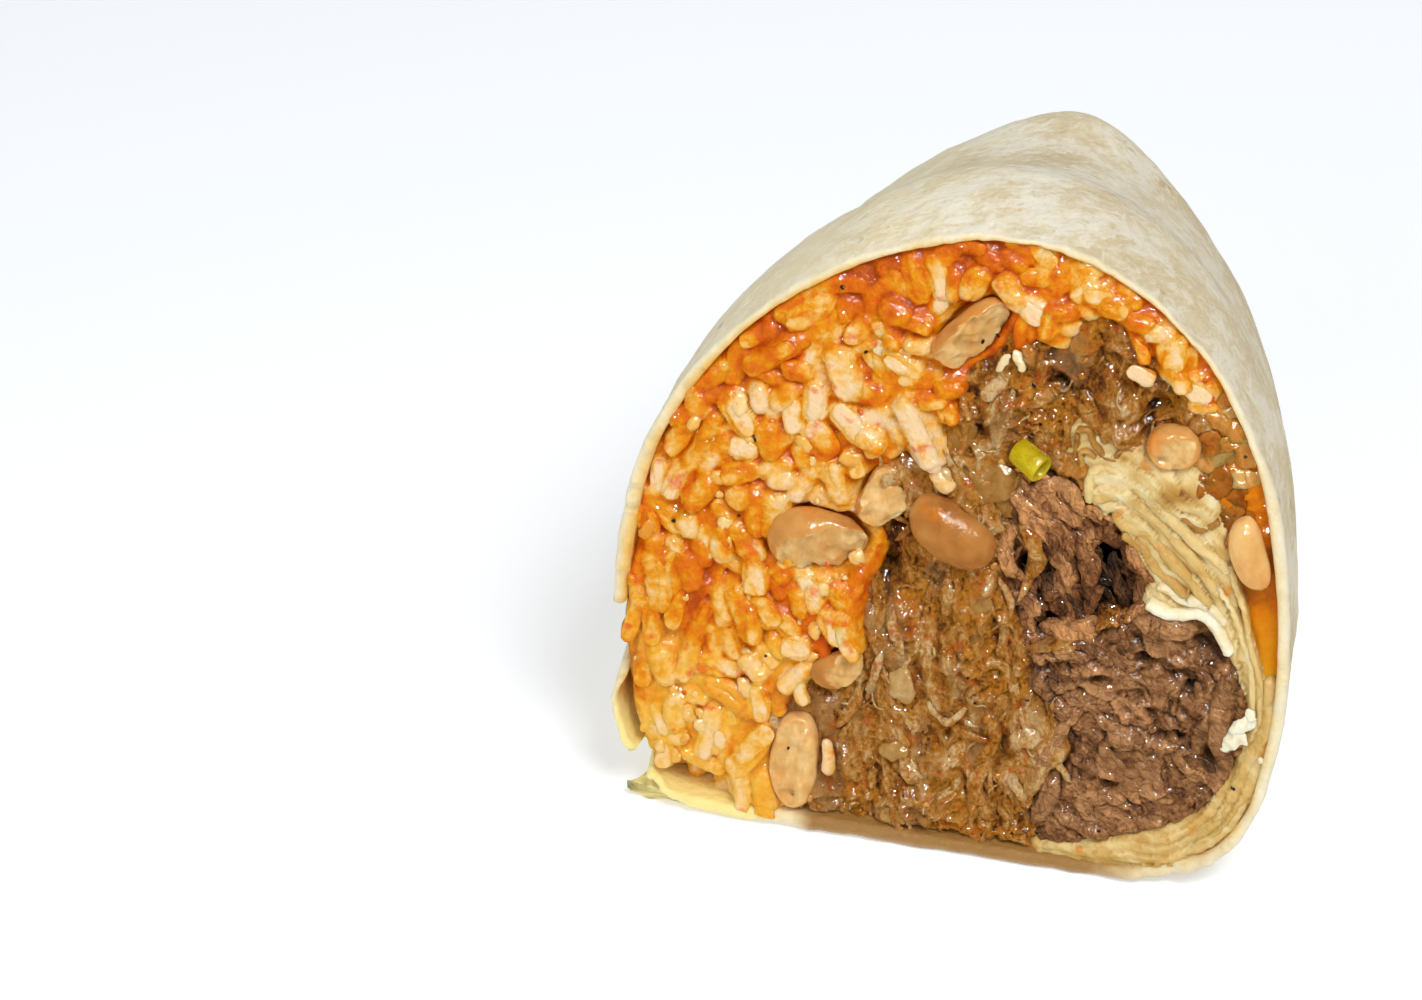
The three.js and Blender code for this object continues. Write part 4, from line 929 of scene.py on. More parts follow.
def stew_finish(look):
    """Stew: wet brown meat in many close tones, with painted shade where deep and painted light where proud,
    under golden crumbs and patches of clear greyish gel, with wavy upright fibre lines and small sharp
    highlights."""
    finish = flesh("meat_stewed", 0.4, (1.0, 0.8, 0.6), 0.3, 0.35, 0.9, 0.05)
    lines = finish.noise(0.9, 8, (1, 1, 3.4), (0, -10, 0), 0.66, 3)
    cloud = finish.noise(2.6, 6, (1, 1, 1.6), (0, -10, 0), 0.62, 3)
    grit = finish.noise(0.55, 4, rough=0.6)
    tone = finish.sums((finish.shade("tone"), 1.0), (lines, 1.4), (cloud, 1.2), (grit, 0.9), offset=-1.72)
    tint = finish.ramp(
        tone, (0.0, look.stew_shade), (0.22, srgb(126, 66, 10)), (0.46, look.stew), (0.72, srgb(214, 152, 74)),
        (1.0, srgb(238, 202, 142)),
    )
    crumbs = finish.sums((finish.shade("crumb"), 0.7), (finish.noise(1.1, 7, rough=0.62), 2.2), offset=-1.1)
    crumbs = finish.step(crumbs, 0.4, 0.7, 0.8)
    tint = finish.mix(crumbs, tint, finish.mix(grit, srgb(150, 74, 0), srgb(255, 172, 40)))
    gel = finish.sums((finish.shade("gel"), 0.8), (finish.noise(2.0, 5), 1.6), offset=-0.8)
    tint = finish.mix(finish.step(gel, 0.3, 0.9, 0.65), tint, srgb(176, 130, 78))
    spots = finish.sums((finish.noise(2.6, 3), 1.0), (finish.noise(0.7, 3), 0.5), offset=-0.25)
    tint = finish.mix(finish.step(spots, 0.58, 0.72, 0.75), tint, srgb(204, 92, 8))
    bump = finish.sums((lines, 1.4), (grit, 0.9), (cloud, 0.6))
    waves, ripples = finish.noise(1.2, 1, (1, 1, 1.8), (0, -10, 0), 0.5, 2), finish.noise(0.6, 0)
    film = finish.sums((waves, 1.0), (ripples, 0.3))
    return finish.done(tint, finish.sums((cloud, 0.6), offset=0.15), bump, 0.8, film, 0.4)


def meat_finish(name, pale, middle, dark, wet, stretch, turn, crack):
    """Meat: a pale, a middle and a dark tone by how its own fibre draws and by painted shade and light from
    how deep a place lies, with fine lines along the fibres, thin cracks between bundles darkened by painted
    shade and a wet shine."""
    finish = flesh(name, 0.4, (1.0, 0.8, 0.65), 0.25, 0.35, wet, 0.06)
    lines = finish.noise(0.8, 7, stretch, turn, 0.64, 2)
    cloud = finish.noise(3.0, 5, rough=0.62, warp=2)
    grit = finish.noise(0.5, 4)
    # Painted shade: the cell borders darken the tone as thin cracks between bundles.
    gaps = finish.step(finish.cracks(crack, stretch, turn, 3), 0.07, 0.0)
    tone = finish.sums(
        (finish.shade("tone"), 1.0), (lines, 0.9), (cloud, 0.7), (grit, 0.4), (gaps, -0.14), offset=-1.0
    )
    tint = finish.ramp(
        tone, (0.0, dark), (0.24, tuple(0.36 * c for c in middle)), (0.5, middle), (0.74, pale),
        (1.0, tuple(min(1, 1.6 * c) for c in pale)),
    )
    bump = finish.sums((lines, 1.2), (grit, 0.6), (cloud, 0.4), (gaps, -0.3))
    film = finish.sums((finish.noise(1.1, 1, (1.8, 1, 1), turn, 0.5, 2), 1.0), (finish.noise(0.6, 0), 0.3))
    return finish.done(tint, finish.sums((lines, 0.6), offset=0.15), bump, 0.4, film, 0.35)


def bean_finish(look):
    """Beans: smooth glossy skin, mealy pale inside where broken, and a little sauce."""
    finish = flesh("bean_cooked", 1.6, (1.0, 0.75, 0.5), 0.5, 0.3, 0.5, 0.08)
    cloud = finish.noise(4, 4)
    skin = finish.sums((finish.shade("tone"), 1.0), (cloud, 0.6), offset=-0.3)
    skin = finish.ramp(
        skin, (0.0, srgb(146, 84, 32)), (0.3, look.skin), (0.6, srgb(216, 156, 84)),
        (1.0, srgb(244, 204, 136)),
    )
    mealy = finish.noise(2.4, 4, (1, 1, 1.8), rough=0.55)
    core = finish.ramp(mealy, (0.25, srgb(210, 146, 68)), (0.5, look.inside), (0.75, srgb(244, 212, 150)))
    tint = finish.mix(finish.shade("inside"), skin, core)
    orange = finish.sums((finish.noise(5.5, 3), 1.0), (finish.noise(1.6, 2), 0.3), offset=-0.15)
    tint = finish.mix(finish.step(orange, 0.56, 0.72, 0.5), tint, srgb(224, 128, 24))
    rough = finish.sums((finish.shade("inside"), 0.3), (cloud, 0.3), offset=0.15)
    bump = finish.sums((mealy, 0.7), (cloud, 0.8), (finish.noise(0.7, 3), 0.2))
    return finish.done(tint, rough, bump, 0.35, finish.noise(1.7, 1), 0.3)


def wet_finish(name, tints, scale=2.0, weight=0.6, roughness=0.12, mottle=0.7):
    """Sauce, mash and small bits: one run of tints by the tone of the place, very glossy."""
    finish = flesh(name, scale, (1.0, 0.6, 0.3), weight, 0.6, 0.6, 0.08)
    cloud = finish.noise(1.4, 5, rough=0.6, warp=1)
    tone = finish.sums((finish.shade("tone"), 1.0), (cloud, mottle), offset=-0.5 * mottle)
    stops = [(k / (len(tints) - 1), tint) for k, tint in enumerate(tints)]
    bump = finish.sums((finish.noise(1.3, 3), 1.0), (finish.noise(0.5, 1), 0.3))
    rough = finish.sums((finish.noise(1.0, 2), 0.3), offset=roughness)
    return finish.done(finish.ramp(tone, *stops), rough, bump, 0.15)


# ---- tortilla ----
# Points round the sheet, and rings along its front part, its closed tail and its inside.
SHELL_SIDES, FRONT_RINGS, CAP_RINGS, INNER_RINGS = 380, 70, 30, 22
# How far back the edge starts where the side is torn and at the slit above the flap, in shares of the length.
TORN_BACK, SLIT_BACK = 0.075, 0.05
# How far the low left lip is flared out, in millimetres.
LIP_FLARE = 1.3
# The flap's inner edge, to the right, and how far it runs back.
FLAP_ROOT, FLAP_REACH = -28, 26
# Thickness of one folded page and of one layer of the lower right corner.
PAGE_WIDTH, RIND_WIDTH = 2.1, 1.5
# The layers of the lower right corner take over from the folded pages between these heights.
CORNER_TOP = (24, 14)
# The middle of the soaked yellow dent in the folds.
SOAKED_AT = (25.5, 55.8)
# Layers of the corner: thickness, forward offset, tone, depth in the roll, first and last outline point.
CORNER_SHEETS = ((2.0, -0.3, 0.34, 2.6, 1.5, 5.1), (1.9, -0.5, 0.44, 4.2, 2.2, 4.7))


def shell_points(look):
    """The rolled sheet as one grid: rings of places round the outline, first up the inside of the wall
    from the tail to the cut, over the rounded cut edge and back along the outside to the closed tail. The
    edge starts further back where the side is torn, and the low left lip is flared outwards."""
    x = np.linspace(0, len(OUTLINE), SHELL_SIDES, endpoint=False)
    line = closed_curve(OUTLINE, x)
    out = sideways(line, True)
    u, v = line[:, 0], line[:, 1]
    left = smooth(-36, -41, u)
    ragged = v + 0.9 * noise(v * 0.9, 0, 0, 3)
    start = left * (TORN_BACK * band(18, 18.8, 28, 29.6, ragged) + SLIT_BACK * band(4.4, 4.9, 7.3, 7.9, v))
    start = start + 0.006 * noise(x * 2.9, 0.5, 0, 1) + (0.0035 + 0.004 * left) * noise(x * 13, 2.5, 0, 2)
    flare = LIP_FLARE * left * band(7, 10, 15, 18.5, v)
    wall = wall_at(u, v) * (1 + 0.2 * noise(x * 2.2, 4.5, 0, 5) - 0.45 * left * smooth(20, 16, v))

    inward = np.linspace(1, 0, INNER_RINGS) ** 1.7
    inner_s = start + (BACK_STATION - start) * inward[:, None]
    turn = np.linspace(-0.5, 0.5, 9) * np.pi
    rim_w = 0.5 + 0.5 * np.sin(turn)
    rim_s = start - 0.35 * wall / LENGTH * np.cos(turn)[:, None]
    flat = np.linspace(0, CAP_START, FRONT_RINGS)[1:] ** 1.15 * CAP_START**-0.15
    sweep = np.linspace(0, 0.985 * np.pi / 2, CAP_RINGS)[1:]
    cap = CAP_START + (1 - CAP_START) * np.sin(sweep) ** (2 / CAP_POWER)
    outer_s = start * (1 - flat[:, None] / CAP_START) + flat[:, None]
    outer_s = np.concatenate([outer_s, np.broadcast_to(cap[:, None], (len(cap), len(u)))])
    stations = np.concatenate([inner_s, rim_s, outer_s])
    share = np.concatenate([np.zeros(INNER_RINGS), rim_w, np.ones(len(outer_s))])[:, None]

    bulge = flare * np.exp(-((np.maximum(stations, 0) * LENGTH / 5) ** 2))
    px, py, pz = np.moveaxis(body_points(u, v, stations), -1, 0)
    creases = -np.abs(noise(px / 9, py / 15, pz / 9, 4)) - 0.6 * np.abs(noise(px / 4, py / 7, pz / 4, 9))
    dents = creases + 0.5 * layered(px / 15, py / 15, pz / 15, 2, 2) - 0.1
    dents = dents + 0.2 * noise(px / 2.2, py / 2.2, pz / 2.2, 3)
    offset = -wall * (1 - share) + (0.15 + 0.85 * share) * look.wrinkle / MM * dents + bulge
    offset = np.minimum(offset, 0.75 * bulge + 0.02)
    points = body_points(u + out[:, 0] * offset, v + out[:, 1] * offset, stations)
    points[..., 1] = np.maximum(points[..., 1] - 0.25 * smooth(0.85, 1, stations), FRONT_LIMIT)

    deep = np.maximum(stations - start, 0) * LENGTH
    stain = np.where(share < 0.9, 0.3 * (1 - share) + 0.25 * smooth(0, 3, deep), 0.04)
    warm = 0.25 * smooth(-20, -40, u) * smooth(10, 24, v) + 0.2 * smooth(60, 78, v)
    # Where the cut edge turns darker tan at the foot and bright yellow at the low left lip.
    foot = smooth(9, 3, v) * smooth(-24, -16, u) * (1 - 0.8 * smooth(14, 30, u))
    lip = smooth(17, 10, v) * smooth(-22, -30, u)
    shades = {
        "cut": 1 - smooth(0.35, 0.95, share) * smooth(-0.2, 1.0, deep + 0.3 * share),
        "stain": stain + warm * (1 - share**3),
        # Painted light at the left and painted shade at the right of the outside: 0 at the left, 1 at the
        # right.
        "side": smooth(-46, 40, u) + 0 * share,
        "foot_and_lip": foot - lip + 0 * share,
    }
    return points, shades


def build_tortilla(look):
    """Outer sheet: the grid of shell_points as one closed tube. Each end's middle has its ring's mean
    shades."""
    rings, values = shell_points(look)
    points, triangles = closed_tubes(rings[None])
    shades = {}
    for label, value in values.items():
        shades[label] = np.concatenate([value.ravel(), [value[0].mean(), value[-1].mean()]])
    add_piece("tortilla_sheet", points, triangles, tortilla_finish(look), ["tortilla"], shades)


def sheet_along(line, thickness, forward, reach, seed, count=70):
    """Rings of one sheet seen edge on: a tall narrow section, rounded in front, that follows a line in
    the face and runs back by the reach; its edge rises and falls and it wavers more the further back it
    goes."""
    t = np.linspace(0, 1, count)
    path = along(line, t)
    right = sideways(path, False)
    span = np.linalg.norm(np.diff(path, axis=0), axis=1).sum()
    turn = np.linspace(-0.5, 0.5, 7) * np.pi
    backs = np.array([1.6, 3.4, 6.5, reach])
    across = np.concatenate([np.sin(turn), (1, 1, 0.9, 0.5), (-0.5, -0.9, -1, -1)])
    back = np.concatenate([0.5 * thickness * (1 - np.cos(turn)), backs, backs[::-1]])
    place = t[:, None] * span
    thick = thickness * (1 + 0.22 * noise(place * 0.6, seed + 0.5, 0, seed))
    lift = 0.45 * noise(place * 0.35, seed + 3.5, 0, seed) + 0.12 * noise(place * 2.2, across * 0.9, 0, seed)
    waver = back * 0.12 * noise(place * 0.3, back * 0.22, seed, 2)
    waver = waver + 0.16 * noise(place * 1.1, back * 0.5, 0, seed)
    ends = np.minimum(1, np.minimum(t, 1 - t)[:, None] * span / 0.5 + 0.25)
    shift = across * thick / 2 * ends + waver
    u = path[:, :1] + right[:, :1] * shift
    v = np.maximum(path[:, 1:] + right[:, 1:] * shift, 0.05)
    rings = np.stack([u, v, forward + lift - back], -1)
    # Second value, for painted shade: 0 on the front, rising to 1 five millimetres back into the roll.
    return rings, np.broadcast_to(np.clip(back / 5, 0, 1), u.shape)


def corner_line(depth, first, last):
    """Line that runs inside the outline at a given depth, between two places counted in outline
    points."""
    curve = closed_curve(OUTLINE, np.linspace(first, last, 16))
    return curve - sideways(curve, False) * depth


def sheet_pages(u, v):
    """Where a place lies across the stack of folded sheets, in millimetres and as a share of its own
    page."""
    away = line_distance(u, v, FOLD_PAGES) + 1.1 * noise(u / 5, v / 5) + 0.3 * noise(u, v, 0, 3)
    return away, np.mod(away / PAGE_WIDTH, 1)


def corner_rinds(u, v):
    """Share of its own layer at which a place in the lower right corner lies, counted from the sheet."""
    return np.mod(cavity(u, v) / RIND_WIDTH + 0.5 * noise(u / 5, v / 5, 0, 7), 1)


def leaf_relief(u, v):
    """Inner sheets seen edge on: each page or layer rises from one edge to the other, with one soaked
    dent."""
    away, edge = sheet_pages(u, v)
    corner = smooth(*CORNER_TOP, v)
    stack = 0.8 * edge - 0.45 - 0.06 * np.abs(away) + 0.5 * noise(u / 5, v / 5, 0, 8)
    layers = 0.6 * corner_rinds(u, v) - 0.6 + 0.5 * noise(u / 3, v / 3, 0, 5)
    swelling = holes(u, v, ((*SOAKED_AT, 4.2, 2.6, -0.6),))
    return stack * (1 - corner) + layers * corner + 0.2 * noise(u, v, 0, 9) + swelling


def build_inner_sheets():
    """Crumpled inner end: sheets that follow the lines of the fold and of the corner, over a core of
    pages."""
    finish = sheet_finish()
    sheets = [*FOLD_SHEETS, *((*layer[:3], corner_line(*layer[3:])) for layer in CORNER_SHEETS)]
    parts = []
    for k, (thickness, forward, tone, line) in enumerate(sheets):
        rings, depth = sheet_along(line, thickness, 0.6 * forward - 0.15, 12, k + 1)
        points, triangles = closed_tubes(face_points(rings)[None])
        shade = np.concatenate([depth.ravel(), [depth[0].mean(), depth[-1].mean()]])
        parts.append((points, triangles, np.full(len(points), tone), shade))
    points, triangles, tone, depth = join_parts(parts)
    shades = {"tone": tone, "depth": depth}
    add_piece("tortilla_inner_sheets", points, triangles, finish, ["tortilla"], shades)

    points, triangles, at = filling_block(inside_leaf, leaf_relief, (8, 0, 44, 65), 0.32, 0.6, 0.8)
    u, v = at["u"], at["v"]
    corner = smooth(*CORNER_TOP, v)
    soaked = smooth(3.6, 0, np.hypot(u - SOAKED_AT[0], (v - SOAKED_AT[1]) * 1.4))
    # Painted shade: darker where the core lies deep, along the crease at the edge of each page and of each
    # corner layer.
    depth = 0.5 * smooth(-0.8, -3, at["forward"])
    depth = depth + 0.35 * smooth(0.25, 0, sheet_pages(u, v)[1]) * (1 - corner)
    depth = depth + 0.3 * smooth(0.25, 0, corner_rinds(u, v)) * corner
    tone = 0.3 + 0.3 * soaked + 0.15 * noise(u / 2, v / 2) + 0.12 * corner
    shades = {"tone": tone, "depth": depth}
    add_piece("tortilla_inner_core", points, triangles, finish, ["tortilla"], shades)


def join_parts(parts):
    """One mesh from several (points, triangles, values ...) parts."""
    sizes = np.cumsum([0] + [len(part[0]) for part in parts])
    points = np.concatenate([part[0] for part in parts])
    triangles = np.concatenate([part[1] + first for part, first in zip(parts, sizes)])
    values = [np.concatenate([part[k] for part in parts]) for k in range(2, len(parts[0]))]
    return points, triangles, *values


def build_lower_flap(look):
    """Flap of the sheet's lower edge: a thin tongue on the floor that starts at the foot of the cut, is
    widest there and narrows back under the roll, with an uneven outer edge and a ragged yellow front."""
    t = np.linspace(0, 1, 90) ** 1.6
    back = FLAP_REACH * t
    tip = -45.2 + 10.1 * t**0.8 + 0.4 * noise(t * 16, 1.5, 0, 3) * (t > 0.02)
    sides = 84
    turn = 2 * np.pi * np.arange(sides) / sides
    middle, half = (tip + FLAP_ROOT) / 2, (FLAP_ROOT - tip) / 2
    round_u = np.sign(np.cos(turn)) * np.abs(np.cos(turn)) ** 0.5
    round_z = np.sign(np.sin(turn)) * np.abs(np.sin(turn)) ** 0.7
    thick = 1.0 + 0.2 * noise(t * 6, 3.5, 0, 4)
    u = middle[:, None] + half[:, None] * round_u
    curl = 1.2 * smooth(-39, -44.5, u) * (1 - t[:, None]) ** 2
    top = 0.4 + 0.6 * (round_z > 0)
    lumps = 0.5 * noise(u * 0.5, back[:, None] * 0.4) + 0.45 * top * noise(u * 1.1, back[:, None], 0, 6)
    z = thick[:, None] * (1 + round_z) + curl * top + lumps * smooth(-45, -41, u)
    front = smooth(6, 0, back)[:, None]
    torn = 0.7 * (1 + noise(u * 0.8, 5.5, 0, 2)) + 0.3 * (1 + noise(u * 2.6, 2.5, 0, 7))
    rings = np.stack([u + CENTRE_X, CENTRE_Y + 0.15 + torn * front + back[:, None], np.maximum(z, 0.03)], -1)
    points, triangles = closed_tubes(rings[None])
    x, y, _ = points.T
    shades = {
        "cut": np.ones(len(points)),
        "stain": 0.1 + 0.25 * noise(x * 0.6, y * 0.6),
        # As at the far left of the outer sheet: full painted light.
        "side": np.zeros(len(points)),
        "foot_and_lip": -0.9 * smooth(FLAP_REACH, 12, y - CENTRE_Y) + 0.2 * noise(x * 0.4, y * 0.4, 0, 5),
    }
    finish = tortilla_finish(look)
    finish.name = "tortilla_flap"
    add_piece("tortilla_lower_flap", points, triangles, finish, ["tortilla"], shades)


# ---- rice ----
# How clearly the highest of grains and starch stands out: the larger, the smaller the fillet between them.
BED_SHARPNESS = 5.0


def axis_distance(u, v, grains):
    """Distance of each place from the nearest of the grains' axes: rows of (u, v, angle, length)."""
    ahead, side = turned(u[:, None] - grains[:, 0], v[:, None] - grains[:, 1], grains[:, 2])
    return np.hypot(np.maximum(np.abs(ahead) - grains[:, 3] / 2 + 1, 0), side).min(axis=1)


def bean_clearance(u, v):
    """How far each place lies from the beans: 0 at the middle of a bean and 1 on its outline."""
    best = np.full(u.shape, FAR)
    for _, bu, bv, length, width, _, angle, *_ in BEANS:
        ahead, side = turned(u - bu, v - bv, math.radians(angle))
        best = np.minimum(best, np.hypot(ahead / (length / 2), side / (width / 2)))
    return best


def starch_share(u, v):
    """Where yellow starch lies over the rice: at the lower left and in a few patches."""
    return smooth(42, 18, v) * smooth(-10, -26, u) - 0.15 + 0.4 * noise(u / 5, v / 5, 0, 14)


class RiceBed:
    """Relief of rice that sits in its own starch. Each grain is a rod with round ends, cut flat at the
    face, whose skirt falls away outside it; grains and starch are joined by the logarithm of the sum of
    their exponentials, which leaves a fillet where they meet. It sinks behind the beans. Keeps the mean
    tone of the grains at each place."""

    def __init__(self, grains):
        self.grains = grains
        self.tone = None

    def __call__(self, u, v):
        starch = -1.7 + 0.6 * layered(u / 3.4, v / 3.4, 0, 3, 3)
        starch = starch + 1.4 * smooth(34, 14, v) * smooth(-14, -26, u) + holes(u, v, RICE_HOLES)
        total = np.exp(BED_SHARPNESS * starch)
        tone = np.zeros(u.shape)
        for gu, gv, forward, angle, length, width, top, own in self.grains:
            reach = length / 2 + width
            rows = slice(*np.searchsorted(v[:, 0], (gv - reach, gv + reach)))
            columns = slice(*np.searchsorted(u[0], (gu - reach, gu + reach)))
            du, dv = u[rows, columns] - gu, v[rows, columns] - gv
            ahead, side = turned(du, dv, angle)
            past = np.maximum(np.abs(ahead) - (length - width) / 2, 0)
            away = np.hypot(past, side) / (width / 2) + 0.1 * noise(du + gv, dv + gu, 0, 5)
            rod = np.sqrt(np.clip(1 - away**2, 0, 1)) - 1.3 * np.maximum(away - 1, 0)
            height = forward + width / 2 * rod
            share = np.exp(BED_SHARPNESS * np.minimum(height, top))
            total[rows, columns] += share
            tone[rows, columns] += own * share
        self.tone = tone / total
        pit = 2.2 * smooth(1.1, 0.7, bean_clearance(u, v))
        return np.log(total) / BED_SHARPNESS + 0.08 * noise(u / 0.8, v / 0.8, 0, 9) - pit


def grain_rings(place, angle, pitch, length, width, flat, random, sides, count):
    """Rice grains: straight or slightly bowed rods, nearly as thick at their rough blunt ends as in the
    middle, with dented sides and a flat face where the knife has cut them. Also how much of each place
    was cut off, and how far up its grain it lies."""
    n = len(place)
    steps = 0.995 * np.sin(np.linspace(-0.5, 0.5, count) * np.pi)
    taper = random.uniform(0.55, 1.0, (n, 1))
    full = np.clip(1 - np.abs(steps) ** 5, 0, 1) ** 0.4 * (1 + (taper - 1) * (0.5 + 0.5 * steps))
    half = width[:, None] / 2 * full
    bend = 0.06 * length * random.normal(size=n)
    paths = straight_paths(place, angle, pitch, length, steps, bend)
    flatter = random.uniform(0.75, 1.0, (n, 1))
    rings = tubes_along(paths, half, half * flatter, sides, 0.12, 1.2, 2, 2.5)
    rings = roughen(roughen(rings, 0.16, 1.7, 2), 0.11, 0.7, 3)
    up = (rings[..., 2] - place[:, 2, None, None]) / (width[:, None, None] / 2)
    over = rings[..., 2] - flat[:, None, None]
    rings[..., 2] = np.minimum(rings[..., 2], flat[:, None, None])
    return rings, smooth(0.02, 0.3, over), up


def grain_coat(local, own, clean, sunk):
    """Coat on the grains: more to the left and over the top, in patches, down their sides and deep
    between, where it is partly sauce and partly painted shade."""
    u, v, forward = np.moveaxis(local, -1, 0)
    coat = 0.4 + 0.26 * noise(u / 6, v / 6, 0, 1) + 0.14 * noise(u / 2.6, v / 2.6, forward / 2.6, 3)
    coat = coat + 0.12 * smooth(-20, -42, u) * smooth(20, 40, v) + 0.1 * smooth(66, 80, v) * smooth(12, 0, u)
    coat = coat - 0.12 * smooth(-24, -10, u) * smooth(70, 60, v) - 0.1 * smooth(26, 14, v)
    return coat + 0.06 * smooth(50, 66, v) - 0.26 * smooth(4, 16, u) + own - 0.24 * clean + 0.5 * sunk


def build_rice(look):
    """Rice: the listed grains first, then one layer of loose grains and one of sunk grains on a shaken
    lattice, wherever no grain or bean lies nearer than free. All of them shape the bed; all but the sunk
    ones are also laid on it at true size."""
    finish = rice_finish(look)
    random = np.random.default_rng(look.seed)
    spacing = look.spacing / MM
    shown = np.array(GRAINS, float)
    count = len(shown)
    place = np.stack([shown[:, 0], shown[:, 1], 0.8 * shown[:, 5] - 0.35], 1)
    flat = place[:, 2] + np.where(random.random(count) < 0.4, 0.65, 1.3) + 0.2 * random.random(count)
    pitch = 0.5 * (random.random(count) - 0.5)
    angle = np.radians(shown[:, 2])
    width = shown[:, 4] * random.uniform(0.9, 1.06, count)
    length = shown[:, 3] * 1.24
    own = 0.14 * random.normal(size=count) - 0.01
    front = grain_rings(place, angle, pitch, length, width, flat, random, 18, 17)
    batches = [(front, own)]
    bed = [np.stack([*place.T[:2], place[:, 2] - 0.35, angle, length + 0.3, width * 1.2, flat - 0.2, own], 1)]

    taken = [np.stack([*place.T[:2], angle, length], 1)]
    for low, high, gap, free in ((-1.0, -0.3, 0.8, 2.2), (-1.7, -0.9, 0.85, 1.5)):
        u, v = np.meshgrid(np.arange(-48, 34, spacing * gap), np.arange(2, 88, spacing * gap))
        u = (u + spacing * 0.45 * random.uniform(-1, 1, u.shape)).ravel()
        v = (v + spacing * 0.45 * random.uniform(-1, 1, v.shape)).ravel()
        upright = smooth(40, 26, v)
        turn = random.uniform(0, np.pi, len(u)) * (1 - upright)
        turn = turn + upright * (1.6 + 0.45 * random.normal(size=len(u)))
        long = random.uniform(4.4, 7.0, len(u)) + 1.5 * upright
        keep = (inside_rice(u, v) > 0.8) & (axis_distance(u, v, np.concatenate(taken)) > free)
        keep &= bean_clearance(u, v) > 1.15
        u, v, turn, long = u[keep], v[keep], turn[keep], long[keep]
        n = len(u)
        taken.append(np.stack([u, v, turn, np.full(n, 2.0)], 1))
        forward = random.uniform(low, high, n) + holes(u, v, RICE_HOLES)
        wide = random.uniform(2.0, 2.7, n)
        top = forward + random.uniform(0.7, 1.5, n)
        tint = 0.12 * random.normal(size=n)
        loose = free > 2
        low_place, low_top = forward - 0.4 * loose, top - 0.2 * loose
        bed.append(np.stack([u, v, low_place, turn, long, wide * 1.15, low_top, tint], 1))
        if loose:
            tilt = random.uniform(-0.5, 0.5, n)
            at = np.stack([u, v, forward], 1)
            batches.append((grain_rings(at, turn, tilt, long, wide, top, random, 14, 13), tint))

    relief = RiceBed(np.concatenate(bed))
    points, triangles, at = filling_block(inside_rice, relief, (-50, 0, 36, 90), 0.31, 0.8, 1.0)
    local = np.stack([at["u"], at["v"], at["forward"]], -1)
    # More coat in hollows and deep down: partly sauce gathered there, partly painted shade.
    sunk = smooth(0.25, -1.0, at["hollow"]) + 0.25 * smooth(-1.2, -3, at["forward"])
    coat = grain_coat(local, relief.tone.ravel()[at["order"]], 0.0, sunk)
    shades = {"coat": coat, "starch": starch_share(at["u"], at["v"])}
    add_piece("rice_base", points, triangles, finish, ["rice"], shades)

    parts = []
    for (rings, clean, up), own in batches:
        local, triangles = closed_tubes(rings)
        clean, up = (
            np.concatenate([k.reshape(len(own), -1), k[:, 0, :1], k[:, -1, :1]], axis=1).ravel()
            for k in (clean, up)
        )
        local = keep_inside(local)
        # More coat low on each grain's sides: partly sauce, partly painted shade.
        coat = grain_coat(local, np.repeat(own, len(local) // len(own)), clean, 0.5 * smooth(0.5, -0.5, up))
        starch = starch_share(local[:, 0], local[:, 1]) - 0.25 * clean
        parts.append((face_points(local), triangles, coat, starch))
    points, triangles, coat, starch = join_parts(parts)
    add_piece("rice_grains", points, triangles, finish, ["rice"], {"coat": coat, "starch": starch})


def gel_share(u, v):
    """Where clear gel covers the stew: in upright patches, and round the pepper."""
    patches = smooth(0.0, 0.4, noise(u / 4, v / 8, 0, 31)) + smooth(5, 1, np.hypot(u - 2, (v - 62) / 1.6))
    return patches * (1 - smooth(9, 13, u) * smooth(50, 44, v))


def crumb_share(u, v):
    """Where golden crumbs lie on the stew."""
    return smooth(-0.1, 0.4, noise(u / 4, v / 5, 0, 37)) + 0.5 * smooth(72, 80, v) + 0.6 * smooth(12, 4, v)


# ---- meats ----
def stew_relief(u, v):
    """Soft stew: low torn lumps and wavy upright strands of three sizes, smooth where gel covers them,
    with crumbs and holes."""
    gel, crumb = np.clip(gel_share(u, v), 0, 1), np.clip(crumb_share(u, v), 0, 1)
    bent_u = u + 0.2 * v + 1.6 * noise(u / 3, v / 5, 0, 41) + 0.5 * noise(u / 1.1, v / 1.6, 0, 47)
    bent_v = v + 1.4 * noise(u / 3, v / 3, 0, 43)
    lumps = 1.4 * layered(u / 4.6, v / 6, 0, 7, 2)
    strands = 0.8 * ridged(bent_u / 2.6, bent_v / 8, 0, 21, 2)
    strands = strands + 0.5 * ridged(bent_u / 1.2, bent_v / 5, 0, 23, 2)
    threads = 0.28 * ridged(bent_u / 0.7, bent_v / 3.4, 0, 28, 2)
    upper = smooth(46, 60, v) * (0.9 * ridged(bent_u / 3, bent_v / 2.4, 0, 24, 2) - 0.3)
    granules = 0.9 * crumb * layered(bent_u / 1.1, bent_v / 1.1, 0, 26, 3)
    fine = 0.16 * (1 - gel) * layered(u / 0.6, v / 0.8, 0, 12, 2)
    rough = (1 - 0.6 * gel) * (strands + threads)
    return -1.4 + lumps + rough + upper + granules + fine + 0.4 * gel + 0.75 * holes(u, v, STEW_HOLES)


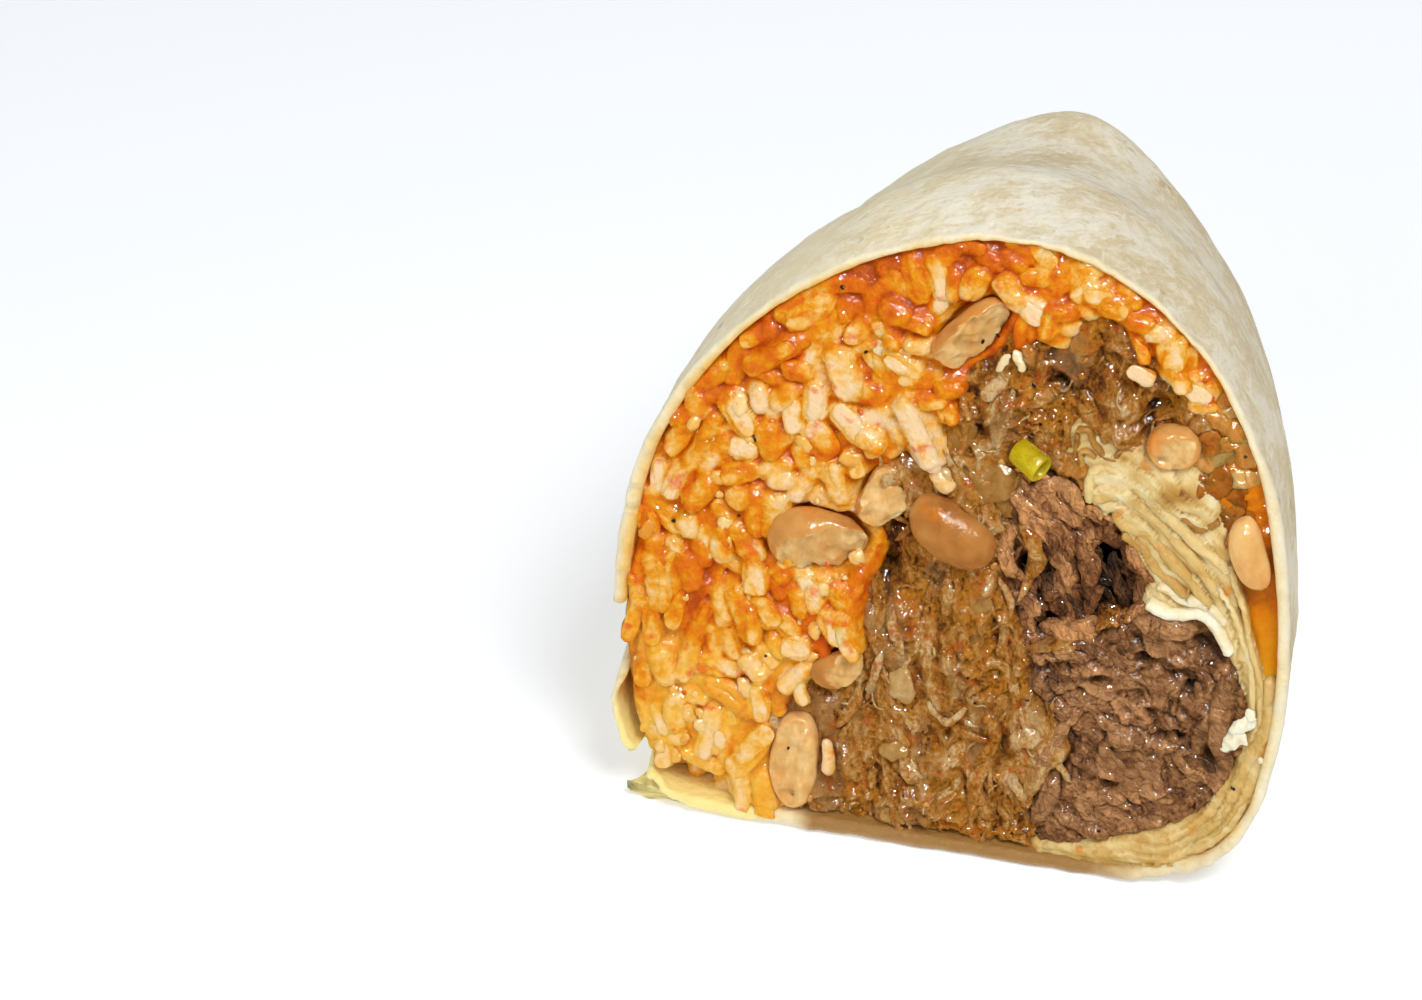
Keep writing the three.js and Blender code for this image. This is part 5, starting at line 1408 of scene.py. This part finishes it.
def chunk_cells(u, v):
    """Bundles of the firm beef: large slanting ones and small ones in them, as border distance and own
    number."""
    bent_u = u + 2.2 * noise(u / 6, v / 6, 0, 3) + 0.5 * noise(u / 1.6, v / 1.6, 0, 33)
    bent_v = v + 2.2 * noise(u / 6, v / 6, 0, 8) + 0.5 * noise(u / 1.6, v / 1.6, 0, 36)
    across, lengthwise = bent_u * 0.57 + bent_v * 0.82, bent_u * 0.82 - bent_v * 0.57
    return *cell_pattern(lengthwise / 6.5, across / 3.4, 6), *cell_pattern(lengthwise / 2.2, across / 1.1, 10)


def chunk_relief(u, v):
    """Firm beef cut across its grain: nearly flat plates of fibre bundles with thin cracks between,
    looser and more torn towards the top."""
    border, own, middle, step = chunk_cells(u, v)
    loose = smooth(14, 26, v)
    broad = 0.7 * layered(u / 7, v / 5, 0, 13, 2) + loose * 0.8 * layered(u / 3, v / 2, 0, 15, 2)
    cracks = (0.2 + 0.3 * loose) * smooth(0, 0.09, border) + 0.16 * smooth(0, 0.2, middle)
    plates = (0.25 + 0.35 * loose) * own + 0.24 * step
    fine = 0.16 * layered(u / 0.7, v / 0.7, 0, 5, 2)
    return -1.4 + broad + cracks + plates + fine + holes(u, v, CHUNK_HOLES)


def shred_relief(u, v):
    """Loose shreds: uneven strands drawn out down to the right, in three sizes, with deep holes
    between."""
    lengthwise, across = u * 0.5 - v * 0.87, u * 0.87 + v * 0.5
    across = across + 1.6 * noise(u / 3, v / 3, 0, 44) + 0.4 * noise(u / 1, v / 1.4, 0, 45)
    broad = 1.5 * layered(u / 4.2, v / 4.8, 0, 17, 2)
    strands = ridged(across / 2.8, lengthwise / 10, 0, 12, 1)
    strands = strands + 0.4 * ridged(across / 1.2, lengthwise / 7, 0, 18, 2)
    threads = 0.18 * ridged(across / 0.6, lengthwise / 4, 0, 19, 2)
    return -1.9 + broad + strands + threads + holes(u, v, SHRED_HOLES)


def meat_tone(at, level, spread_by):
    """Tone of a meat core, as painted shade and light: darker the deeper it lies and the more it is sunk in
    what is round it, lighter where it stands proud.
    """
    u, v = at["u"], at["v"]
    deep = np.clip(at["forward"] - level, -6, 2)
    sunk = np.clip(at["hollow"], -1, 0.8)
    return 0.62 + spread_by * deep + 0.22 * sunk + 0.12 * noise(u / 5, v / 5, 0, 21)


def fibre_rings(
    u, v, angle, length, width, depth, lift, relief, random, curl=0.5, rings=10, sides=6, grain=1.2, lumps=0.3
):
    """Fibres that lie on a relief: each centre line leaves at its angle, bends and wavers, rests on the
    smoothed height of the meat and lifts in the middle or at one end; both ends taper and ridges run
    along them."""
    count = len(u)
    t = np.linspace(-1, 1, rings)[None]
    bow = curl * length[:, None] * 0.2 * random.normal(size=(count, 1)) * (1 - t**2)
    sway = 0.12 * length[:, None] * 0.5 * np.sin(2.5 * t + random.uniform(0, 6, (count, 1))) * curl
    du, dv = turned(length[:, None] / 2 * t, bow + sway, -angle[:, None])
    pu, pv = u[:, None] + du, v[:, None] + dv
    ground = np.maximum(relief(pu, pv), -4)
    ground = 0.5 * ground + 0.5 * ground.mean(axis=1, keepdims=True)
    end_up = random.uniform(-0.5, 1, (count, 1)) * lift[:, None] * t
    rise = ground + lift[:, None] * (0.4 + 0.6 * (1 - t**2)) + np.maximum(end_up, -0.2)
    taper = (1 - np.abs(t) ** 3) ** 0.6 * (1 + 0.25 * noise(t * 2.2, np.arange(count)[:, None] * 1.7, 0, 4))
    taper = np.maximum(taper, 0.12)
    paths = np.stack([pu, np.maximum(pv, 1.6), np.minimum(rise, 1.6)], -1)
    half_width, half_depth = width[:, None] / 2 * taper, depth[:, None] / 2 * taper
    rings = tubes_along(paths, half_width, half_depth, sides, lumps, grain, 6, 2.0)
    return roughen(rings, 0.12, 0.8, 5)


def strip_rings(rows, relief, random, flatness, *shape):
    """Large strips from rows of (right, up, angle, length, width, lift, tone), as fibres, and their
    tones."""
    u, v, angle, length, width, lift, tone = np.array(rows, float).T
    angle, depth = np.radians(angle), flatness * width
    return fibre_rings(u, v, angle, length, width, depth, lift, relief, random, *shape), tone


def add_fibres(name, batches, finish, nodes):
    """One piece from batches of (rings, tone per fibre), darker by painted shade the deeper they lie."""
    parts = []
    for rings, tone in batches:
        local, triangles = closed_tubes(rings)
        local = keep_inside(local)
        each = len(local) // len(tone)
        # Painted shade and light: a lower tone the deeper a point lies, a higher one where it stands out.
        deep = 0.12 * np.clip(local[:, 2] + 0.5, -5, 1.2)
        parts.append((face_points(local), triangles, np.repeat(tone, each) + deep))
    points, triangles, tone = join_parts(parts)
    add_piece(name, points, triangles, finish, nodes, {"tone": tone})


def scatter(random, count, box, inside, margin):
    """Random places in a box that lie at least a margin inside an area."""
    u = random.uniform(box[0], box[2], count * 6)
    v = random.uniform(box[1], box[3], count * 6)
    keep = inside(u, v) > margin
    return u[keep][:count], v[keep][:count]


def build_stew(look):
    """Stewed meat: its core, then loose fibres, the listed strips, one curl and thin hairs on it, and
    lumps of soft onion that lie in it."""
    finish = stew_finish(look)
    box = (-28, 0, 34, 80)
    points, triangles, at = filling_block(inside_stew, stew_relief, box, 0.27, 1.2, 1.0)
    u, v = at["u"], at["v"]
    tone = meat_tone(at, -0.6, 0.14) - 0.1 * smooth(54, 66, v)
    shades = {"tone": tone, "gel": gel_share(u, v), "crumb": crumb_share(u, v)}
    add_piece("stewed_meat_base", points, triangles, finish, ["stewed_meat"], shades)
    random = np.random.default_rng(look.seed)
    width = look.fibre_width / MM
    u, v = scatter(random, STEW_FIBRES, box, inside_stew, 0.4)
    n = len(u)
    angle = np.radians(98 + 18 * random.normal(size=n) - 30 * smooth(48, 70, v))
    long = random.gamma(4, 1.3, n) + 3
    wide = width * random.uniform(0.3, 1.3, n)
    rings = fibre_rings(
        u, v, angle, long, wide, 0.5 * wide, random.uniform(-0.6, 0.1, n), stew_relief, random, 0.8, 17, 8, 3
    )
    batches = [(rings, 0.62 + 0.13 * random.normal(size=n))]
    batches.append(strip_rings(STEW_STRIPS, stew_relief, random, 0.55, 0.5, 30, 20, 4))
    steps = np.linspace(-1, 1, 26)
    level = np.zeros(1)
    curl = straight_paths(np.array([CURL_AT]), level, level, np.array([5.0]), steps, -2.4)
    thick = 0.5 * (1 - 0.6 * steps**4)[None]
    batches.append((roughen(tubes_along(curl, thick, 0.8 * thick, 14, 0.3, 2), 0.35, 1.3), np.array([0.7])))
    u, v = scatter(random, STEW_HAIRS, box, inside_stew, 0.6)
    n = len(u)
    thin = random.uniform(0.2, 0.4, n)
    hairs = fibre_rings(
        u, v, random.uniform(0, np.pi, n), random.uniform(1.5, 4.5, n), thin, thin,
        random.uniform(0.1, 0.7, n), stew_relief, random, 1.4, 14, 6,
    )
    batches.append((hairs, np.full(n, 0.9)))
    add_fibres("stewed_meat_fibres", batches, finish, ["stewed_meat"])

    u, v, angle, length, width, forward, tone = np.array(GEL_LUMPS, float).T
    place = np.stack([u, v, 0.6 * stew_relief(u, v) - 0.1 + forward - 0.15], 1)
    paths = straight_paths(place, np.radians(angle), 0 * u, length, steps)
    full = np.maximum((1 - np.abs(steps) ** 2.2) ** 0.5, 0.1)
    wide = width[:, None] / 2 * full
    rings = roughen(tubes_along(paths, wide, 0.35 * wide, 24, 0.3, 1.3, 8, 3), 0.45, 1.8, 3)
    rings = roughen(rings, 0.12, 0.6, 5)
    onion = (srgb(124, 78, 20), srgb(158, 110, 44), srgb(184, 142, 80), srgb(214, 184, 132))
    gel = wet_finish("onion_soft", onion, 0.6, 0.4)
    add_fibres("onion_lumps", [(rings, tone)], gel, ["stewed_meat"])


def build_chunk(look):
    """Firm chunk: its core, toned by its bundles and by painted shade in their cracks, with loose fibres on
    its upper part and the listed strips."""
    finish = meat_finish(
        "meat_firm", srgb(172, 122, 76), look.beef, look.beef_shade, 0.6, (2.4, 1, 1), (0, 35, 0), 1.5
    )
    box = (6, 0, 42, 41)
    points, triangles, at = filling_block(inside_chunk, chunk_relief, box, 0.22, 1.2, 1.0)
    border, own, middle, step = chunk_cells(at["u"], at["v"])
    tone = meat_tone(at, -0.7, 0.1) + 0.05 * own + 0.09 * step
    # Painted shade along the cracks between the large and the small bundles.
    tone = tone - 0.12 * smooth(0.08, 0, border) - 0.05 * smooth(0.1, 0, middle)
    add_piece("meat_chunk_base", points, triangles, finish, ["meat_chunk"], {"tone": tone})
    random = np.random.default_rng(look.seed + 1)
    u, v = scatter(random, CHUNK_FIBRES, (6, 14, 42, 41), inside_chunk, 0.5)
    n = len(u)
    angle = np.radians(-32 + 24 * random.normal(size=n))
    wide = random.uniform(0.7, 2.0, n)
    rings = fibre_rings(
        u, v, angle, wide * random.uniform(1.6, 3.0, n), wide, 0.5 * wide, random.uniform(-0.5, 0.1, n),
        chunk_relief, random, 0.25, 18, 14, 3,
    )
    tone = 0.62 + 0.14 * random.normal(size=n)
    big, big_tone = strip_rings(CHUNK_STRIPS, chunk_relief, random, 0.65, 0.3, 40, 28, 4)
    add_fibres("meat_chunk_fibres", [(rings, tone), (big, big_tone + 0.08)], finish, ["meat_chunk"])


def build_shreds(look):
    """Loose shreds: their core, with loose strands and the listed strips on it."""
    finish = meat_finish(
        "meat_shredded", srgb(192, 134, 80), srgb(138, 84, 44), look.beef_shade, 0.7,
        (1, 1, 3.4), (0, -30, 0), 1.3,
    )
    box = (1, 29, 26, 57)
    points, triangles, at = filling_block(inside_shreds, shred_relief, box, 0.22, 1.2, 1.0)
    tone = meat_tone(at, -0.9, 0.16)
    add_piece("meat_shreds_base", points, triangles, finish, ["meat_shreds"], {"tone": tone})
    random = np.random.default_rng(look.seed + 2)
    u, v = scatter(random, SHRED_FIBRES, box, inside_shreds, 0.2)
    n = len(u)
    angle = np.radians(-60 + 30 * random.normal(size=n))
    wide = random.uniform(0.5, 1.7, n)
    rings = fibre_rings(
        u, v, angle, random.uniform(3, 8.5, n), wide, 0.5 * wide, random.uniform(-0.4, 0.5, n),
        shred_relief, random, 0.7, 18, 10, 3,
    )
    tone = 0.66 + 0.2 * random.normal(size=n)
    big, big_tone = strip_rings(SHRED_STRIPS, shred_relief, random, 0.45, 0.7, 38, 26, 5, 0.3)
    batches = [(rings, tone), (big, big_tone + 0.16)]
    add_fibres("meat_shreds_strands", batches, finish, ["meat_shreds"])


# ---- beans, mash and pepper ----
def bean_rings(length, width, depth, bend, bites, seed):
    """One bean in its own axes (along, across, out): an ellipsoid with full ends, bowed like a kidney. A
    bite pushes what lies beyond a rough plane back onto it; how far it was pushed marks the broken
    inside."""
    t = np.cos(np.linspace(np.pi - 0.08, 0.08, 34))
    full = (1 - np.abs(t) ** 2.5) ** 0.46
    turn = 2 * np.pi * np.arange(36) / 36
    rings = np.stack([
        length / 2 * t[:, None] * np.ones(36),
        width / 2 * full[:, None] * np.cos(turn) + bend * (t**2 - 0.4)[:, None],
        depth / 2 * full[:, None] * np.sin(turn),
    ], -1)
    a, b, c = np.moveaxis(rings, -1, 0)
    rings *= (1 + 0.035 * layered(a / 3, b / 3, c / 3, seed, 2))[..., None]
    inside = np.zeros(a.shape)
    for ba, bb, bc, distance in bites:
        way = np.array([ba, bb, bc]) / np.linalg.norm([ba, bb, bc])
        rough = 0.7 * layered(rings[..., 0] / 1.8, rings[..., 1] / 1.8, 0, seed + 5, 3)
        excess = np.maximum(rings @ way - distance - rough, 0)
        rings = rings - way * excess[..., None]
        inside = np.maximum(inside, smooth(0.02, 0.3, excess))
    return rings, inside


def build_beans(look):
    """Each listed bean: made in its own axes, then turned to its angle and moved to its place in the
    face."""
    finish = bean_finish(look)
    for k, (name, u, v, length, width, depth, angle, forward, bend, bites, paleness) in enumerate(BEANS):
        rings, inside = bean_rings(length, width, depth, bend, bites, k)
        points, triangles = closed_tubes(rings[None])
        du, dv = turned(points[:, 0], points[:, 1], -math.radians(angle))
        local = np.stack([u + du, np.maximum(v + dv, 0.3), forward + points[:, 2] + 0.9], -1)
        within = np.concatenate([inside.ravel(), inside[0, :1], inside[-1, :1]])
        tone = 0.3 + 0.6 * paleness + 0.1 * layered(points[:, 0] / 3, points[:, 1] / 3, 0, k, 2)
        shades = {"inside": within, "tone": tone}
        add_piece(name + "_cooked", face_points(local), triangles, finish, [name], shades)


def build_mash():
    """Mashed beans and sauce of the side pocket: soft torn lumps on a low core that turns from pinkish
    mash above to clear orange sauce and oil below."""
    brown = (srgb(120, 54, 0), srgb(172, 96, 20), srgb(204, 134, 54), srgb(232, 182, 110))
    orange = (srgb(214, 168, 40), srgb(234, 160, 16), srgb(226, 128, 2), srgb(180, 96, 20))
    mash = wet_finish("bean_mashed", brown)
    sauce = wet_finish("sauce_pool", orange, 0.8, 0.3, 0.04)

    def relief(u, v):
        """Mash above, a low pool of sauce below it, and the hollow under the fold."""
        lumpy = 1.2 * layered(u / 2.4, v / 2.4, 0, 19, 3) * smooth(44, 50, v)
        pool = -1.3 * smooth(47, 43, v) + 1.2 * smooth(36, 30, v) - 0.8 * smooth(30, 24, v)
        return -1.2 + lumpy + pool + holes(u, v, POCKET_HOLES)

    points, triangles, at = filling_block(inside_pocket, relief, (26, 20, 45, 74), 0.3, 0.7, 1.0)
    v = at["v"]
    tone = 0.15 + 0.3 * smooth(30, 36, v) + 0.45 * smooth(37, 43, v) - 0.2 * smooth(48, 56, v)
    shades = {"tone": tone + 0.2 * at["hollow"]}
    add_piece("sauce_core", points, triangles, sauce, ["bean_mash"], shades)

    random = np.random.default_rng(MASH_SEED)
    u, v = np.array(MASH_LUMPS).T
    n = len(u)
    wide = random.uniform(2.0, 3.8, n)
    rings = fibre_rings(
        u, v, random.uniform(0, np.pi, n), wide * random.uniform(1.2, 2.2, n), wide, 0.5 * wide,
        np.full(n, 0.3), relief, random, 0.6, 26, 20, 1.4, 0.45,
    )
    rings = roughen(roughen(rings, 0.5, 1.7, 6), 0.2, 0.7, 2)
    add_fibres("bean_mash_lumps", [(rings, 0.5 + 0.22 * random.normal(size=n))], mash, ["bean_mash"])


def build_pepper(look):
    """Short open tube of pepper: one ring section carried round the tube wall, from the outside over the
    lip and back along the inside, so that the open end shows its thickness."""
    turn = 2 * np.pi * np.arange(32) / 32
    shape = np.array(PEPPER_WALL)
    wobble = 1 + 0.09 * noise(1.5 * np.cos(turn), 1.5 * np.sin(turn), shape[:, :1] * 0.4, 3)
    a = shape[:, :1] + 0 * turn
    b, c = shape[:, 1:] * np.cos(turn) * wobble * 0.95, shape[:, 1:] * np.sin(turn) * wobble * 0.85
    points, triangles = closed_tubes(np.stack([a, b, c], -1)[None])
    ahead, outward = turned(points[:, 0], points[:, 2], -math.radians(PEPPER_TIP))
    du, dv = turned(ahead, points[:, 1], -math.radians(PEPPER_ANGLE))
    green = wet_finish("pepper_green", (srgb(150, 130, 2), look.pepper, srgb(232, 216, 60)), 0.8, 0.3)
    tone = 0.5 + 0.3 * noise(points[:, 0], points[:, 1], points[:, 2], 2)
    local = np.stack([du, dv, outward], -1) + PEPPER_AT
    add_piece("pepper_tube", face_points(local), triangles, green, ["pepper_piece"], {"tone": tone})


# ---- small bits ----
def bit_rings(random, u, v, forward, long, wide, thick, rings=7, sides=8):
    """Small uneven crumbs: short tubes with blunt ends, turned at random, with every point shifted."""
    n = len(u)
    steps = np.linspace(-1, 1, rings)
    place = np.stack([u, v, forward], 1)
    paths = straight_paths(place, random.uniform(0, np.pi, n), random.uniform(-0.4, 0.4, n), long, steps)
    full = np.maximum((1 - np.abs(steps) ** 3) ** 0.5, 0.2)
    tubes = tubes_along(paths, wide[:, None] / 2 * full, thick[:, None] / 2 * full, sides, 0.3, 1.4, 8)
    return roughen(tubes, 0.14 * wide[:, None, None, None], 0.8)


def surface_height(u, v):
    """Rough height of whatever filling shows at a place."""
    height = np.where(inside_rice(u, v) > 0, -0.2 + holes(u, v, RICE_HOLES), stew_relief(u, v) + 0.4)
    height = np.where(inside_chunk(u, v) > 0, chunk_relief(u, v) + 0.2, height)
    height = np.where(inside_shreds(u, v) > 0, shred_relief(u, v) + 0.6, height)
    return np.maximum(height, -4)


def build_bits():
    """Crumbs of four kinds at random places of their own filling, on its surface, and the flakes of
    dough."""
    random = np.random.default_rng(BITS_SEED)
    black = (srgb(24, 16, 10), srgb(52, 34, 20))
    red = (srgb(206, 70, 0), srgb(222, 100, 4), srgb(232, 140, 26))
    golden = (srgb(110, 58, 6), srgb(158, 92, 18), srgb(190, 124, 40), srgb(212, 156, 80))
    yellow = (srgb(232, 146, 36), srgb(240, 184, 88), srgb(244, 208, 140))
    white = (srgb(232, 186, 110), srgb(244, 220, 170), srgb(250, 238, 208))
    all_over, middle, lower_left = (-44, 4, 40, 85), (-24, 2, 24, 80), (-48, 2, -10, 60)
    # Name, how many, sizes, area, box, slot, node, tints and how high they lie on the surface.
    kinds = (
        ("pepper_specks", 36, (0.3, 0.55), cavity, all_over, "pepper", "pepper_piece", black, 0.25),
        ("sauce_crumbs", 26, (0.3, 0.8), inside_rice, all_over, "rice", "rice", red, 0.2),
        ("stew_crumbs", 60, (0.4, 1.0), inside_stew, middle, "stewed_meat", "stewed_meat", golden, -0.3),
        ("mush_crumbs", 70, (0.6, 2.2), inside_rice, lower_left, "rice", "rice", yellow, 0.0),
    )
    for name, count, (small, large), area, box, slot, node, tints, lift in kinds:
        u, v = scatter(random, count, box, area, 1.0)
        n = len(u)
        size = random.uniform(small, large, n)
        forward = surface_height(u, v) + lift + 0.2 * size
        rings = bit_rings(random, u, v, forward, size * random.uniform(1, 1.8, n), size, size * 0.6, 9, 10)
        finish = wet_finish(name + "_wet", tints, 0.8, 0.3, 0.2)
        add_fibres(name, [(rings, 0.5 + 0.3 * random.normal(size=n))], finish, [node])

    shapes = np.array(DOUGH_CRUMBS, float).T
    rings = bit_rings(random, *shapes[:6], 22, 20)
    dough = wet_finish("dough_crumbs_damp", white, 1.0, 0.4, 0.3)
    add_fibres("dough_crumbs", [(rings, shapes[6])], dough, ["tortilla"])


# ---- stage ----
def add_lamp(name, at, aim, size, power, diffuse=True, glossy=True):
    """Round lamp that shines from one place towards another, on plain colour, on highlights or on
    both."""
    data = bpy.data.lights.new(name, "AREA")
    data.shape = "DISK"
    data.size = size
    data.energy = power
    lamp = bpy.data.objects.new(name, data)
    lamp.visible_diffuse, lamp.visible_glossy = diffuse, glossy
    way = np.array(at, float) - np.array(aim, float)
    way /= np.linalg.norm(way)
    side = np.cross((0, 0, 1), way)
    side /= np.linalg.norm(side)
    turn = Matrix(np.stack([side, np.cross(way, side), way], 1).tolist()).to_4x4()
    turn.translation = [c * MM for c in at]
    lamp.matrix_world = turn
    bpy.context.scene.collection.objects.link(lamp)


def build_stage(look):
    """Camera from its place and its three ways, pale floor that also glows a little, even sky light and
    lamps."""
    scene = bpy.context.scene
    lens = bpy.data.cameras.new("front_view")
    lens.lens = look.lens
    lens.sensor_fit = "HORIZONTAL"
    lens.sensor_width = 36
    lens.clip_start, lens.clip_end = 0.02, 20
    camera = bpy.data.objects.new("front_view", lens)
    pose = Matrix(np.stack([CAMERA_RIGHT, CAMERA_UP, CAMERA_BACK], 1).tolist()).to_4x4()
    pose.translation = [c * MM for c in CAMERA_AT]
    camera.matrix_world = pose
    scene.collection.objects.link(camera)
    scene.camera = camera

    mesh = bpy.data.meshes.new("floor")
    half = 3.0
    corners = [(-half, -half, 0), (half, -half, 0), (half, half, 0), (-half, half, 0)]
    mesh.from_pydata(corners, [], [(0, 1, 2, 3)])
    floor = bpy.data.objects.new("floor", mesh)
    floor.visible_glossy = False
    scene.collection.objects.link(floor)
    finish = Finish(
        "floor_plain", Base_Color=(*look.floor, 1), Roughness=0.6, Specular_IOR_Level=0.2,
        Emission_Color=(0.96, 0.98, 1.0, 1), Emission_Strength=0.24,
    )
    mesh.materials.append(finish.material)

    world = bpy.data.worlds.new("studio")
    world.use_nodes = True
    back = world.node_tree.nodes["Background"]
    back.inputs["Color"].default_value = (0.95, 0.97, 1.0, 1)
    back.inputs["Strength"].default_value = 0.5
    scene.world = world
    scene.world.cycles_visibility.glossy = False
    add_lamp("key_lamp", (250, -260, 620), (0, 0, 40), 0.3, look.key)
    add_lamp("fill_lamp", (-320, -560, 260), (0, -30, 40), 0.6, look.fill, glossy=False)
    add_lamp("glint_lamp", (60, -380, 640), (0, -30, 40), 0.09, look.spark, diffuse=False)
    scene.view_settings.view_transform = "Standard"


# ---- operators and panel ----
class BURRITO_OT_tortilla(bpy.types.Operator):
    """Add the rolled tortilla with its cut edge, torn side, closed tail and the flap at its foot"""

    bl_idname = "burrito.tortilla"
    bl_label = "Add Tortilla"

    def execute(self, context):
        build_tortilla(context.scene.burrito_tortilla)
        build_lower_flap(context.scene.burrito_tortilla)
        return {"FINISHED"}


class BURRITO_OT_inner_sheets(bpy.types.Operator):
    """Add the crumpled inner end of the tortilla and the layers round the lower corner"""

    bl_idname = "burrito.inner_sheets"
    bl_label = "Add Inner Sheets"

    def execute(self, context):
        build_inner_sheets()
        return {"FINISHED"}


class BURRITO_OT_rice(bpy.types.Operator):
    """Add the rice: its core and every grain that shows"""

    bl_idname = "burrito.rice"
    bl_label = "Add Rice"

    def execute(self, context):
        build_rice(context.scene.burrito_rice)
        return {"FINISHED"}


class BURRITO_OT_meats(bpy.types.Operator):
    """Add the stewed meat with its onion, the firm chunk and the loose shreds"""

    bl_idname = "burrito.meats"
    bl_label = "Add Meats"

    def execute(self, context):
        look = context.scene.burrito_meat
        build_stew(look)
        build_chunk(look)
        build_shreds(look)
        return {"FINISHED"}


class BURRITO_OT_beans(bpy.types.Operator):
    """Add the whole and broken beans, the mash, the sauce and the pepper tube"""

    bl_idname = "burrito.beans"
    bl_label = "Add Beans and Pepper"

    def execute(self, context):
        look = context.scene.burrito_bean
        build_beans(look)
        build_mash()
        build_pepper(look)
        return {"FINISHED"}


class BURRITO_OT_bits(bpy.types.Operator):
    """Add specks of pepper and crumbs of sauce, stew, rice and dough"""

    bl_idname = "burrito.bits"
    bl_label = "Add Small Bits"

    def execute(self, context):
        build_bits()
        return {"FINISHED"}


class BURRITO_OT_stage(bpy.types.Operator):
    """Add the floor, the lamps and the camera"""

    bl_idname = "burrito.stage"
    bl_label = "Add Stage"

    def execute(self, context):
        build_stage(context.scene.burrito_stage)
        return {"FINISHED"}


OPERATORS = (
    BURRITO_OT_stage, BURRITO_OT_tortilla, BURRITO_OT_inner_sheets, BURRITO_OT_rice, BURRITO_OT_meats,
    BURRITO_OT_beans, BURRITO_OT_bits,
)
LOOKS = {
    "burrito_tortilla": TortillaLook,
    "burrito_rice": RiceLook,
    "burrito_meat": MeatLook,
    "burrito_bean": BeanLook,
    "burrito_stage": StageLook,
}


class BURRITO_PT_panel(bpy.types.Panel):
    """Settings and buttons for each part of the burrito half"""

    bl_label = "Burrito Half"
    bl_space_type = "VIEW_3D"
    bl_region_type = "UI"
    bl_category = "Burrito"

    def draw(self, context):
        # A box of settings for each group, then a button for each operator.
        for name, look in LOOKS.items():
            box = self.layout.box()
            box.label(text=name.replace("_", " ").capitalize())
            for label in look.__annotations__:
                box.prop(getattr(context.scene, name), label)
        for operator in OPERATORS:
            self.layout.operator(operator.bl_idname)


def register():
    """Makes the settings known to every scene, then the operators and the panel."""
    for name, look in LOOKS.items():
        bpy.utils.register_class(look)
        setattr(bpy.types.Scene, name, PointerProperty(type=look))
    for kind in (*OPERATORS, BURRITO_PT_panel):
        bpy.utils.register_class(kind)


def unregister():
    """Takes back everything that register makes known."""
    for kind in (*OPERATORS, BURRITO_PT_panel):
        bpy.utils.unregister_class(kind)
    for name, look in LOOKS.items():
        delattr(bpy.types.Scene, name)
        bpy.utils.unregister_class(look)


def main():
    register()
    bpy.ops.burrito.stage()
    bpy.ops.burrito.tortilla()
    bpy.ops.burrito.inner_sheets()
    bpy.ops.burrito.rice()
    bpy.ops.burrito.meats()
    bpy.ops.burrito.beans()
    bpy.ops.burrito.bits()


if __name__ == "__main__":
    main()
